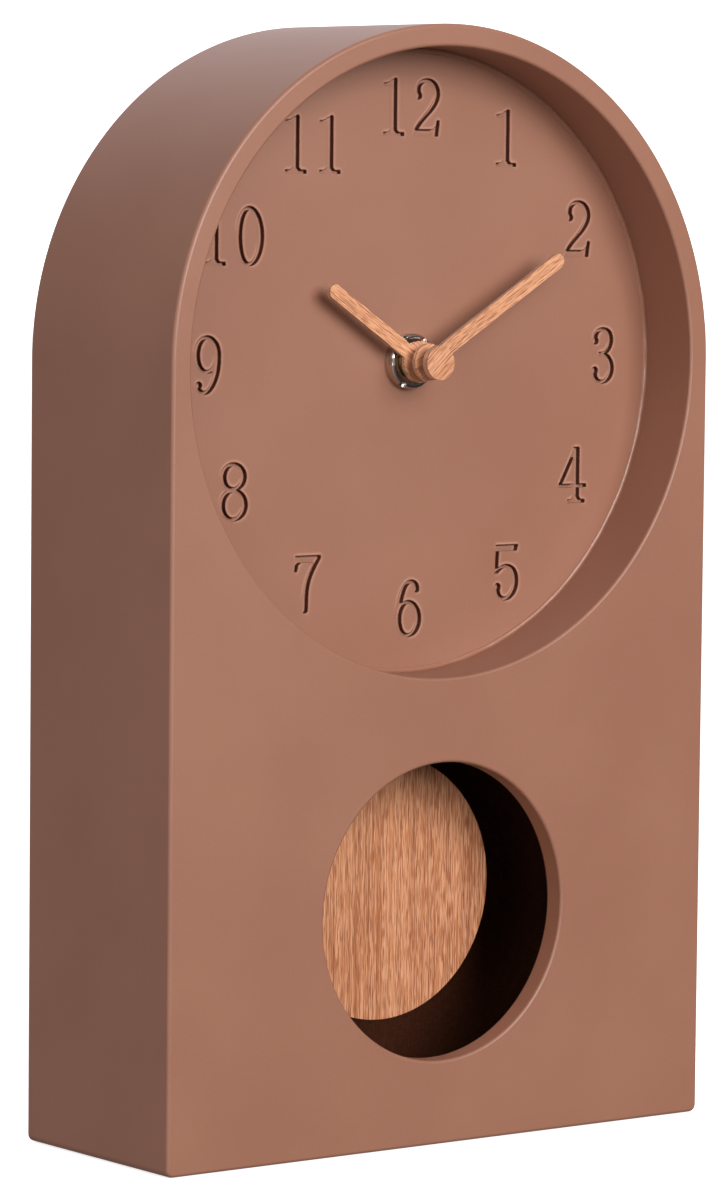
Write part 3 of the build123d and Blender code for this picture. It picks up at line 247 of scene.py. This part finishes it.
class Value:
    """One output of a shader node. Arithmetic on it adds Math nodes to the same tree."""

    def __init__(self, socket):
        self.socket = socket

    def node(self, kind, settings, inputs, output=0):
        """Adds a node of any kind: its settings first, then its inputs, and gives one output."""
        tree = self.socket.id_data
        made = tree.nodes.new("ShaderNode" + kind)
        for name, setting in settings.items():
            setattr(made, name, setting)
        for name, value in inputs.items():
            if isinstance(value, Value):
                tree.links.new(value.socket, made.inputs[name])
            else:
                made.inputs[name].default_value = value
        return Value(made.outputs[output])

    def math(self, operation, first, second):
        """Math node on two values or numbers."""
        return self.node("Math", {"operation": operation}, {0: first, 1: second})

    def __add__(self, other):
        return self.math("ADD", self, other)

    __radd__ = __add__

    def __sub__(self, other):
        return self.math("SUBTRACT", self, other)

    def __rsub__(self, other):
        return self.math("SUBTRACT", other, self)

    def __mul__(self, other):
        return self.math("MULTIPLY", self, other)

    __rmul__ = __mul__

    def __gt__(self, other):
        return self.math("GREATER_THAN", self, other)

    def __lt__(self, other):
        return self.math("LESS_THAN", self, other)

    def __abs__(self):
        return self.node("Math", {"operation": "ABSOLUTE"}, {0: self})

    def larger(self, other):
        """The larger of two values."""
        return self.math("MAXIMUM", self, other)

    def vector(self, operation, other, output=0):
        """Vector Math node on this vector and another."""
        return self.node("VectorMath", {"operation": operation}, {0: self, 1: other}, output)

    def rise(self, low, high):
        """Smooth step from 0 at low to 1 at high."""
        return self.node("MapRange", {"interpolation_type": "SMOOTHSTEP"},
                         {"Value": self, "From Min": low, "From Max": high})

    def blend(self, none, full):
        """Colour between two others, by this value."""
        inputs = {0: self, 6: none, 7: full}
        for key in (6, 7):
            if not isinstance(inputs[key], Value):
                inputs[key] = (*inputs[key], 1)
        return self.node("Mix", {"data_type": "RGBA"}, inputs, 2)

    def axis(self, name):
        """One component of a vector."""
        return self.node("SeparateXYZ", {}, {0: self}, name)

    def grain(self, size, detail=2.0, turn=0.0):
        """Noise on coordinates whose cells have this size, after a turn about the Y axis."""
        spot = self.node("Mapping", {}, {"Vector": self, "Rotation": (0, turn, 0)})
        spot = spot.node("Mapping", {}, {"Vector": spot, "Scale": tuple(1 / s for s in size)})
        return spot.node("TexNoise", {}, {"Vector": spot, "Scale": 1.0, "Detail": detail}, "Fac")

    def line(self, size, turn=0.0):
        """Thin lines along the middle level of such noise: 1 on a line, 0 beside it."""
        level = self.grain(size, 2.0, turn) - 0.5
        return abs(level).rise(0.14, 0.04)

    def rounded(self, radius):
        """Surface normal on edges and corners that are rounded over a radius."""
        return self.node("Bevel", {"samples": 8}, {"Radius": radius})

    def relief(self, strength, distance, edge=0.0):
        """Surface normal for this height, on edges that are rounded over a small radius."""
        inputs = {"Strength": strength, "Distance": distance, "Height": self}
        if edge:
            inputs["Normal"] = self.rounded(edge)
        return self.node("Bump", {}, inputs)


def finish(name, **constants):
    """New material: its shader, with the values that are the same all over, and the object's coordinates."""
    material = bpy.data.materials.new(name)
    material.use_nodes = True
    tree = material.node_tree
    shader = tree.nodes["Principled BSDF"]
    for socket, value in constants.items():
        shader.inputs[socket.replace("_", " ")].default_value = value
    place = Value(tree.nodes.new("ShaderNodeTexCoord").outputs["Object"])
    return material, shader, place


def feed(shader, **varying):
    """Links what changes over the surface to the shader."""
    for socket, value in varying.items():
        shader.id_data.links.new(value.socket, shader.inputs[socket.replace("_", " ")])


def coat(material, *names):
    """Puts a material on CAD nodes."""
    for name in names:
        nodes[name].material_slots[0].material = material


LACQUER = (0.288, 0.125, 0.0775)
LACQUER_PALE = (0.318, 0.1445, 0.0915)
# Near-black colour of the faces inside the box.
INSIDE_NEAR_BLACK = (0.012, 0.004, 0.002)
CLOUD_SIZE = 45 * MM
SPECK_SIZE = 0.7 * MM
PEEL_SIZE = 1.6 * MM
PEEL_HEIGHT = 0.05 * MM
SATIN = 0.34
MATT = 0.5


def lacquer(name, *tints, edge=0.0, gloss=SATIN):
    """Matt sprayed lacquer: a faint cloudiness, a fine orange peel and a satin sheen.

    Each tint is a mask and the colour that shows there without gloss. Edges can be rounded over a radius.
    """
    material, shader, place = finish(name, IOR=1.50)
    clouds = place.grain((CLOUD_SIZE,) * 3, 3.0)
    specks = place.grain((SPECK_SIZE,) * 3)
    peel = place.grain((PEEL_SIZE,) * 3)
    colour = (clouds * 0.7 + specks * 0.3).rise(0.30, 0.70).blend(LACQUER, LACQUER_PALE)
    roughness = gloss + 0.10 * specks
    for mask, tint in tints:
        there = mask(place)
        colour = there.blend(colour, tint)
        roughness = roughness + MATT * there
    feed(shader, Base_Color=colour, Roughness=roughness,
         Normal=(peel + 0.4 * specks).relief(0.10, PEEL_HEIGHT, edge))
    return material


WALL_MARGIN = 0.3 * MM
LEDGE_MARGIN = 1.5 * MM
BASE_MARGIN = 0.1 * MM
case_inner = recess_radius + WALL_MARGIN
recess_back = ledge_back - LEDGE_MARGIN
panel_inside = case_low.y + FRONT_PANEL - WALL_MARGIN
base_inside = CAVITY_WALL - BASE_MARGIN


def inside_case(place):
    """1 on the faces inside the box, 0 on the outside, in the recess and on the edge of the window."""
    x, y, z = (place.axis(name) for name in "XYZ")
    ring = place.vector("SUBTRACT", (0, 0, arch_centre)).vector("MULTIPLY", (1, 0, 1))
    radius = ring.node("VectorMath", {"operation": "LENGTH"}, {0: ring}, "Value")
    walls = abs(x) < case_inner
    arch = 1 - (radius > case_inner) * (z > arch_centre)
    recess = (radius < case_inner) * (y < recess_back)
    return walls * arch * (z > base_inside) * (y > panel_inside) * (1 - recess)


case.data.materials.append(lacquer("case_lacquer_finish", (inside_case, INSIDE_NEAR_BLACK)))

# Dial: a disc of the same board, glued on the ledge and lacquered after its numerals were cut into it.
# The cut walls, and the face and floor close to the walls that face down or to the left, are coloured dark as
# painted shade, with a wider pale fringe there as a painted highlight. The lacquer gathers in a soft bead
# where the disc meets the recess.
# The first colour below is painted shade on the cut walls and beside them, the second a painted highlight on
# a pale fringe beside that.
PAINTED_GROOVE_SHADE = (0.085, 0.019, 0.007)
PAINTED_LIP_HIGHLIGHT = (0.420, 0.205, 0.138)
SHADE_WIDTH = 0.60 * MM
HIGHLIGHT_WIDTH = 1.60 * MM
SHADE_LEAN = (0.10, 0.34)
HIGHLIGHT_LEAN = (0.02, 0.14)
PAINT_EDGE = 0.2 * MM
NUMERAL_DEPTH = 1.2 * MM
CUT_TOP = (0.02 * MM, 0.15 * MM)
CUT_FLOOR = (NUMERAL_DEPTH - 0.10 * MM, NUMERAL_DEPTH - 0.04 * MM)


def lean_left_or_down(place, width):
    """How far the surface leans to the left or down, within this distance of an edge or a corner of a cut."""
    normal = place.rounded(width)
    return (-1 * normal.axis("X")).larger(-1 * normal.axis("Z"))


def painted_highlight_mask(place):
    """Mask of the painted highlight: 1 beside the cuts' upper and right walls, on the face and on the floor
    of the cut.
    """
    return lean_left_or_down(place, HIGHLIGHT_WIDTH).rise(*HIGHLIGHT_LEAN)


def painted_shade_mask(place):
    """Mask of the painted shade: 1 on the walls of the engraved numerals and close to the upper and right
    ones, 0 elsewhere.
    """
    depth = place.axis("Y") - dial_low.y
    wall = depth.rise(*CUT_TOP) * (1 - depth.rise(*CUT_FLOOR))
    return wall.larger(lean_left_or_down(place, SHADE_WIDTH).rise(*SHADE_LEAN))


# The dial gets painted shade in and beside its cuts and a painted highlight on a pale fringe beside that.
coat(lacquer("dial_lacquer_finish", (painted_highlight_mask, PAINTED_LIP_HIGHLIGHT), (painted_shade_mask, PAINTED_GROOVE_SHADE), edge=PAINT_EDGE),
     "dial")
BEAD_RADIUS = 1.0 * MM
BEAD_SINK = 0.45 * MM
BEAD_STEPS = 420
BEAD_SIDES = 16
BEAD_SHARP_ANGLE = 60
BEAD_GLOSS = 0.18
LUMP_SIZE = 5 * MM
LUMP_HEIGHT = 0.5 * MM
LUMP_LEVEL = 0.55
bpy.ops.object.select_all(action="DESELECT")
bpy.ops.mesh.primitive_torus_add(major_segments=BEAD_STEPS, minor_segments=BEAD_SIDES,
                                 major_radius=recess_radius - BEAD_SINK, minor_radius=BEAD_RADIUS,
                                 location=(0, dial_low.y + BEAD_SINK, arch_centre),
                                 rotation=(math.pi / 2, 0, 0))
bead = bpy.context.object
bead.name = "dial_paint_bead"
bpy.ops.object.transform_apply(location=True, rotation=True, scale=True)
lumps = bpy.data.textures.new("bead_lumps", "CLOUDS")
lumps.noise_scale = LUMP_SIZE
bpy.ops.object.modifier_add(type="DISPLACE")
modifier = bead.modifiers[-1]
modifier.texture = lumps
modifier.strength = LUMP_HEIGHT
modifier.mid_level = LUMP_LEVEL
bpy.ops.object.modifier_apply(modifier=modifier.name)
smooth(bead, BEAD_SHARP_ANGLE)
bead.data.materials.append(lacquer("bead_lacquer_finish", gloss=BEAD_GLOSS))
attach(bead, "case")

# Back panel: a thin sheet of brown hardboard that is set between the walls of the case.
# Six zinc-plated pan-head screws hold it on bosses along the edge of the box.
BOARD = (0.080, 0.022, 0.0095)
BOARD_FIBRE = (0.112, 0.034, 0.015)
UPRIGHT_FIBRES = (0.5 * MM, 4 * MM, 3.5 * MM)
LEVEL_FIBRES = (2.5 * MM, 4 * MM, 0.6 * MM)
FIBRE_HEIGHT = 0.04 * MM
board, shader, place = finish("back_board_finish", Specular_IOR_Level=0.12)
fibres = place.grain(UPRIGHT_FIBRES, 3.0) * 0.5 + place.grain(LEVEL_FIBRES, 3.0) * 0.5
feed(shader, Base_Color=fibres.rise(0.38, 0.66).blend(BOARD, BOARD_FIBRE), Roughness=0.62 + 0.2 * fibres,
     Normal=fibres.relief(0.15, FIBRE_HEIGHT))
coat(board, "back_panel")
WORN_SHARE = 0.82
SCUFF_DEPTH = 0.02 * MM


def bright_metal(name, colour, roughness, grain_size, **constants):
    """Plated or drawn metal with fine scuffs that change its gloss."""
    material, shader, place = finish(name, Metallic=1.0, **constants)
    scuffs = place.grain(grain_size, 3.0)
    worn = tuple(WORN_SHARE * part for part in colour)
    feed(shader, Base_Color=scuffs.rise(0.35, 0.7).blend(worn, colour), Roughness=roughness + 0.14 * scuffs,
         Normal=scuffs.relief(0.05, SCUFF_DEPTH))
    return material


ZINC = (0.62, 0.61, 0.58)
coat(bright_metal("zinc_finish", ZINC, 0.22, (0.5 * MM,) * 3),
     "back_panel_screws", "movement_screws", "pivot_pin", "battery_contact_negative",
     "battery_contact_positive", "stator", "coil_core")

# Centre fixing: a brass bush through the dial, a rubber washer behind it and a round chromed nut in front.
# The nut is turned with a rounded rim and a dished face, and has six notches for a pin spanner.
BRASS = (0.74, 0.52, 0.24)
CHROME = (0.68, 0.60, 0.54)
RUBBER = (0.012, 0.012, 0.012)
RUBBER_DUST = (0.035, 0.033, 0.031)
DUST_SIZE = 1.2 * MM
NUT_STEPS = 128
NUT_BORE = 4.05 * MM
NUT_LAND = 6.2 * MM
NUT_RIM = 0.9 * MM
RIM_STEPS = 8
DISH_DEPTH = 1.5 * MM
DISH_STEPS = 6
DISH_CURVE = 1.6
NOTCHES = 6
NOTCH_WIDTH = 2.0 * MM
NOTCH_DEPTH = 1.1 * MM
NOTCH_ROUND = 0.10 * MM
NOTCH_SEGMENTS = 2
coat(bright_metal("brass_finish", BRASS, 0.24, (0.4 * MM,) * 3), "threaded_bush")
nut_low, nut_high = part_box("ring_nut")
nut_radius = nut_high.x
dish = [(NUT_BORE + (NUT_LAND - NUT_BORE) * step / DISH_STEPS,
         nut_low.y + DISH_DEPTH * (1 - step / DISH_STEPS) ** DISH_CURVE) for step in range(DISH_STEPS + 1)]
rim_turns = [math.pi / 2 / RIM_STEPS * step for step in range(RIM_STEPS + 1)]
rim = [(nut_radius - NUT_RIM + NUT_RIM * math.sin(turn), nut_low.y + NUT_RIM - NUT_RIM * math.cos(turn))
       for turn in rim_turns]
nut = turned("ring_nut_turned", (0, arch_centre), [
    (NUT_BORE, nut_high.y), *dish, *rim, (nut_radius, nut_high.y), (NUT_BORE, nut_high.y)], NUT_STEPS)
for index in range(NOTCHES):
    way = 2 * math.pi * index / NOTCHES
    spot = (nut_radius * math.cos(way), nut_low.y, arch_centre + nut_radius * math.sin(way))
    bpy.ops.object.select_all(action="DESELECT")
    bpy.ops.mesh.primitive_cube_add(size=1, scale=(2 * NOTCH_DEPTH, 2 * NOTCH_DEPTH, NOTCH_WIDTH),
                                    location=spot, rotation=(0, -way, 0))
    notch = bpy.context.object
    bpy.ops.object.transform_apply(location=True, rotation=True, scale=True)
    bpy.ops.object.mode_set(mode="EDIT")
    bpy.ops.mesh.select_all(action="SELECT")
    bpy.ops.mesh.bevel(offset=NOTCH_ROUND, segments=NOTCH_SEGMENTS, affect="EDGES")
    close(notch)
    join_solids(nut, notch, "DIFFERENCE")
smooth(nut, SHARP_ANGLE)
nut.data.materials.append(bright_metal("nut_finish", CHROME, 0.08, (0.3 * MM,) * 3))
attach(nut, "case")
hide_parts("ring_nut")
rubber, shader, place = finish("rubber_finish")
dust = place.grain((DUST_SIZE,) * 3, 3.0)
feed(shader, Base_Color=dust.rise(0.4, 0.75).blend(RUBBER, RUBBER_DUST), Roughness=0.7 + 0.2 * dust)
coat(rubber, "rubber_washer")

# Movement: a quartz works in a box of black plastic, which the bush and its nut clamp behind the dial.
# The box is injection moulded with a fine spark-eroded texture, and the plate and wheels are pale nylon.
# The coils are wound of copper wire, and the board is green glass fibre with a chip and a crystal can.
MOULD_TEXTURE = 0.35 * MM
MOULD_HEIGHT = 0.03 * MM
MOULD_FLOW = 14 * MM
WIRE = 0.12 * MM
WIRE_HEIGHT = 0.03 * MM
COPPER_DARK = (0.36, 0.12, 0.05)
COPPER = (0.72, 0.32, 0.15)
FERRITE = (0.30, 0.30, 0.31)
CAN_STEEL = (0.72, 0.72, 0.70)


def moulded(name, colour, pale, roughness):
    """Moulded plastic with an even fine texture."""
    material, shader, place = finish(name, IOR=1.49)
    texture = place.grain((MOULD_TEXTURE,) * 3)
    flow = place.grain((MOULD_FLOW,) * 3)
    feed(shader, Base_Color=flow.rise(0.3, 0.7).blend(colour, pale), Roughness=roughness + 0.16 * texture,
         Normal=texture.relief(0.22, MOULD_HEIGHT))
    return material


coat(moulded("movement_finish", (0.016, 0.016, 0.017), (0.024, 0.024, 0.025), 0.42),
     "movement_case", "movement_cover", "pendulum_hanger")
coat(moulded("plate_finish", (0.55, 0.54, 0.50), (0.62, 0.61, 0.57), 0.40),
     "middle_plate", "coil_bobbin", "bob_clip")
coat(moulded("gear_finish", (0.70, 0.68, 0.60), (0.78, 0.76, 0.69), 0.34),
     "hour_wheel", "minute_wheel", "centre_wheel", "third_wheel", "seconds_wheel", "intermediate_wheel",
     "rotor", "minute_shaft")
coat(moulded("knob_finish", (0.020, 0.020, 0.021), (0.030, 0.030, 0.031), 0.36), "setting_knob")
coat(moulded("board_finish", (0.010, 0.085, 0.030), (0.016, 0.120, 0.045), 0.38), "circuit_board")
coat(moulded("chip_finish", (0.010, 0.010, 0.011), (0.018, 0.018, 0.019), 0.50), "control_chip")
copper, shader, place = finish("copper_finish", Metallic=1.0)
height = place.axis("Z")
turns = height.node("Math", {"operation": "SINE"}, {0: height * (2 * math.pi / WIRE)})
feed(shader, Base_Color=turns.rise(-0.8, 0.6).blend(COPPER_DARK, COPPER),
     Roughness=0.30 + 0.05 * turns, Normal=turns.relief(0.4, WIRE_HEIGHT))
coat(copper, "coil_winding", "pendulum_coil")
coat(bright_metal("magnet_finish", FERRITE, 0.30, (0.6 * MM,) * 3), "rotor_magnet", "pendulum_magnet")
coat(bright_metal("can_finish", CAN_STEEL, 0.18, (0.5 * MM,) * 3), "quartz_crystal")

# Battery: one alkaline cell, a steel can in a dark film sleeve with a pale band and bare ends.
# The sleeve is shrunk on, and the cell lies in the movement's top bay between two leaf contacts.
SLEEVE_LEFT = 1.2 * MM
SLEEVE_RIGHT = 2.6 * MM
BAND_LENGTH = 17 * MM
SCUFF_SIZE = 2.0 * MM
cell_low, cell_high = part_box("battery")
sleeve, shader, place = finish("battery_finish", Coat_Roughness=0.1)
along = place.axis("X")
film = (along > cell_low.x + SLEEVE_LEFT) * (along < cell_high.x - SLEEVE_RIGHT)
band = (along > cell_high.x - BAND_LENGTH) * film
scuffs = place.grain((SCUFF_SIZE,) * 3, 3.0)
steel_tone = scuffs.rise(0.3, 0.7).blend((0.52, 0.52, 0.50), (0.64, 0.64, 0.62))
film_tone = scuffs.rise(0.35, 0.75).blend((0.032, 0.047, 0.063), (0.037, 0.054, 0.071))
band_tone = scuffs.rise(0.35, 0.75).blend((0.50, 0.50, 0.48), (0.56, 0.56, 0.54))
feed(shader, Base_Color=film.blend(steel_tone, band.blend(film_tone, band_tone)), Metallic=1 - film,
     Roughness=0.24 + 0.06 * scuffs, Coat_Weight=0.5 * film)
coat(sleeve, "battery")

# Pendulum: a flat steel rod on the movement's hanger, and a disc of board faced with oak.
# The veneer is straight-grained and oiled, and a clip on the back holds the disc on the rod.
OAK_LIGHT = (0.590, 0.232, 0.100)
OAK_DARK = (0.330, 0.098, 0.034)
OAK_PORE = (0.200, 0.055, 0.018)
OAK_FLECK = (0.860, 0.470, 0.270)
OAK_BANDS = (3.0 * MM, 6 * MM, 160 * MM)
OAK_FIBRES = (0.20 * MM, 2 * MM, 16 * MM)
PORE_SPACING = 0.40 * MM
PORE_DEPTH = 3 * MM
PORE_LENGTH = 60 * MM
PORE_BREAKS = (0.3 * MM, 3 * MM, 4.0 * MM)
FLECK_LINES = (0.54 * MM, 3 * MM, 80 * MM)
FLECK_BREAKS = (0.4 * MM, 3 * MM, 5.0 * MM)
OAK_RELIEF = 0.08 * MM
ROD_STEEL = (0.55, 0.53, 0.50)


def oak(name, turn=0.0, dark=OAK_DARK, light=OAK_LIGHT, pore=0.62, fleck=0.50, spacing=PORE_SPACING):
    """Straight-grained oak veneer: broad bands, fine fibres, broken dark pores and pale lines, matt oil."""
    material, shader, place = finish(name, IOR=1.45)
    bands = place.grain(OAK_BANDS, 2.0, turn)
    fibres = place.grain(OAK_FIBRES, 3.0, turn)
    pores = place.line((spacing, PORE_DEPTH, PORE_LENGTH), turn)
    pores = pores * place.grain(PORE_BREAKS, 1.0, turn).rise(0.42, 0.58)
    flecks = place.line(FLECK_LINES, turn)
    flecks = flecks * place.grain(FLECK_BREAKS, 1.0, turn).rise(0.40, 0.58)
    tone = (fibres * 0.50 + bands * 0.50).rise(0.34, 0.66)
    colour = (pore * pores).blend(tone.blend(dark, light), OAK_PORE)
    colour = (fleck * flecks).blend(colour, OAK_FLECK)
    feed(shader, Base_Color=colour, Roughness=0.50 + 0.18 * pores,
         Normal=(0.6 * fibres + 0.5 * flecks - 0.8 * pores).relief(0.45, OAK_RELIEF))
    return material


coat(oak("bob_oak_finish"), "pendulum_bob")
coat(bright_metal("rod_finish", ROD_STEEL, 0.30, (0.3 * MM, 2 * MM, 6 * MM)), "pendulum_rod")

# Hands: stamped aluminium blades faced with oak, the grain along each strip.
# They are pressed on the hour pipe and the minute shaft, and a round cap covers the shaft's end.
HOUR_TURN = math.radians(56.5)
MINUTE_TURN = math.radians(-58.4)
CAP_TURN = math.radians(-48)
HAND_OAK_DARK = (0.570, 0.240, 0.110)
HAND_OAK_LIGHT = (0.790, 0.385, 0.205)
CAP_OAK_DARK = (0.540, 0.230, 0.108)
CAP_OAK_LIGHT = (0.690, 0.330, 0.172)
HAND_PORES = 0.75
HAND_FLECKS = 0.30
HAND_SPACING = 0.32 * MM
ALUMINIUM = (0.80, 0.72, 0.66)
for strip, turn, dark, light in (("hour_hand", HOUR_TURN, HAND_OAK_DARK, HAND_OAK_LIGHT),
                                 ("minute_hand", MINUTE_TURN, HAND_OAK_DARK, HAND_OAK_LIGHT),
                                 ("hand_cap", CAP_TURN, CAP_OAK_DARK, CAP_OAK_LIGHT)):
    coat(oak(strip + "_oak_finish", turn, dark, light, HAND_PORES, HAND_FLECKS, HAND_SPACING),
         strip + "_veneer")
coat(bright_metal("blade_finish", ALUMINIUM, 0.28, (0.4 * MM,) * 3), "hour_hand", "minute_hand", "hand_cap")

# Studio: a wide pale floor that glows a little, a white backdrop behind the clock in a dimmer room,
# a soft light in front, a small window at the left and a dark flag at the right.
# The floor gives the clock no bounce, as on a table with a dark rim.
FLOOR_SIZE = 12
FLOOR_DROP = 0.2 * MM
FLOOR_GLOW = 0.75
PAPER = (0.90, 0.90, 0.90)
PAPER_PALE = (0.92, 0.92, 0.92)
PAPER_TOOTH = 3 * MM
bpy.ops.mesh.primitive_plane_add(size=FLOOR_SIZE, location=(0, 0, -FLOOR_DROP))
floor = bpy.context.object
floor.name = "studio_floor"
floor.visible_diffuse = False
floor.visible_glossy = False
paper, shader, place = finish("floor_finish", Emission_Color=(1, 1, 1, 1), Emission_Strength=FLOOR_GLOW)
tooth = place.grain((PAPER_TOOTH,) * 3)
feed(shader, Base_Color=tooth.rise(0.2, 0.8).blend(PAPER, PAPER_PALE), Roughness=0.75 + 0.1 * tooth)
floor.data.materials.append(paper)

ROOM_TINT = (1.0, 0.935, 0.955, 1)
ROOM_LEVEL = 0.29
ROOM_HEIGHT = (-0.30, 0.70)
LEFT_LEVEL = 0.60
LEFT_EDGE = (-0.20, -0.95)
BACKDROP_LEVEL = 1.10
BACKDROP_WAY = Vector((0.60, 0.75, 0.28)).normalized()
BACKDROP_EDGE = (0.55, 0.92)
BACKDROP_SEEN = 2
FLAG_WAY = Vector((0.60, -0.80, -0.08)).normalized()
FLAG_EDGE = (0.60, 0.90)
FLAG_SHADE = 0.80
world = bpy.data.worlds.new("studio_surround")
bpy.context.scene.world = world
world.use_nodes = True
surround = world.node_tree.nodes["Background"]
surround.inputs["Color"].default_value = ROOM_TINT
way = Value(world.node_tree.nodes.new("ShaderNodeTexCoord").outputs["Generated"])
seen = way.node("LightPath", {}, {}, "Is Camera Ray")
backdrop = way.vector("DOT_PRODUCT", BACKDROP_WAY, "Value").rise(*BACKDROP_EDGE)
lit = backdrop * (1 - seen) + BACKDROP_SEEN * seen
flag = way.vector("DOT_PRODUCT", FLAG_WAY, "Value").rise(*FLAG_EDGE) * (1 - seen)
leftward = way.axis("X").rise(*LEFT_EDGE) * (1 - seen)
height = way.axis("Z").rise(*ROOM_HEIGHT)
room = ROOM_LEVEL * (0.55 + 0.75 * height) * (1 - FLAG_SHADE * flag)
room = room + (LEFT_LEVEL - ROOM_LEVEL) * leftward
feed(surround, Strength=room + (BACKDROP_LEVEL - ROOM_LEVEL) * lit)
clock_middle = Vector((0, case_low.y, case_high.z / 2))


def softbox(name, azimuth, elevation, distance, width, height, power):
    """Area light that faces the middle of the clock's front."""
    turn, rise = math.radians(azimuth), math.radians(elevation)
    away = Vector((math.sin(turn) * math.cos(rise), -math.cos(turn) * math.cos(rise), math.sin(rise)))
    lamp = bpy.data.lights.new(name, "AREA")
    lamp.shape = "RECTANGLE"
    lamp.size = width
    lamp.size_y = height
    lamp.energy = power
    light = bpy.data.objects.new(name, lamp)
    light.location = clock_middle + away * distance
    light.rotation_euler = away.to_track_quat("Z", "Y").to_euler()
    bpy.context.scene.collection.objects.link(light)


softbox("key_light", azimuth=2, elevation=20, distance=2.0, width=1.60, height=1.20, power=49)
softbox("window_light", azimuth=-53, elevation=5, distance=2.0, width=0.40, height=0.90, power=4.5)
bpy.context.scene.view_settings.view_transform = "Standard"

# Camera: a long lens to the left of the clock, a little above its middle, slightly rolled.
# It was solved from the outlines of the arch, the recess and the window.
AZIMUTH = math.radians(-37.04)
ELEVATION = math.radians(4.59)
ROLL = math.radians(0.56)
DISTANCE = 1407.6 * MM
LENS = 160.08
TARGET_X = -27.99 * MM
TARGET_Z = 148.014 * MM
target = Vector((TARGET_X, case_low.y, TARGET_Z))
back = Vector((math.sin(AZIMUTH) * math.cos(ELEVATION), -math.cos(AZIMUTH) * math.cos(ELEVATION),
               math.sin(ELEVATION)))
right = Vector((math.cos(AZIMUTH), math.sin(AZIMUTH), 0))
up = back.cross(right)
tilted_right = math.cos(ROLL) * right + math.sin(ROLL) * up
tilted_up = math.cos(ROLL) * up - math.sin(ROLL) * right
camera_data = bpy.data.cameras.new("camera")
camera_data.lens = LENS
camera = bpy.data.objects.new("camera", camera_data)
bpy.context.scene.collection.objects.link(camera)
camera.matrix_world = Matrix.Translation(target + back * DISTANCE) @ Matrix(
    (tilted_right, tilted_up, back)).transposed().to_4x4()
bpy.context.scene.camera = camera
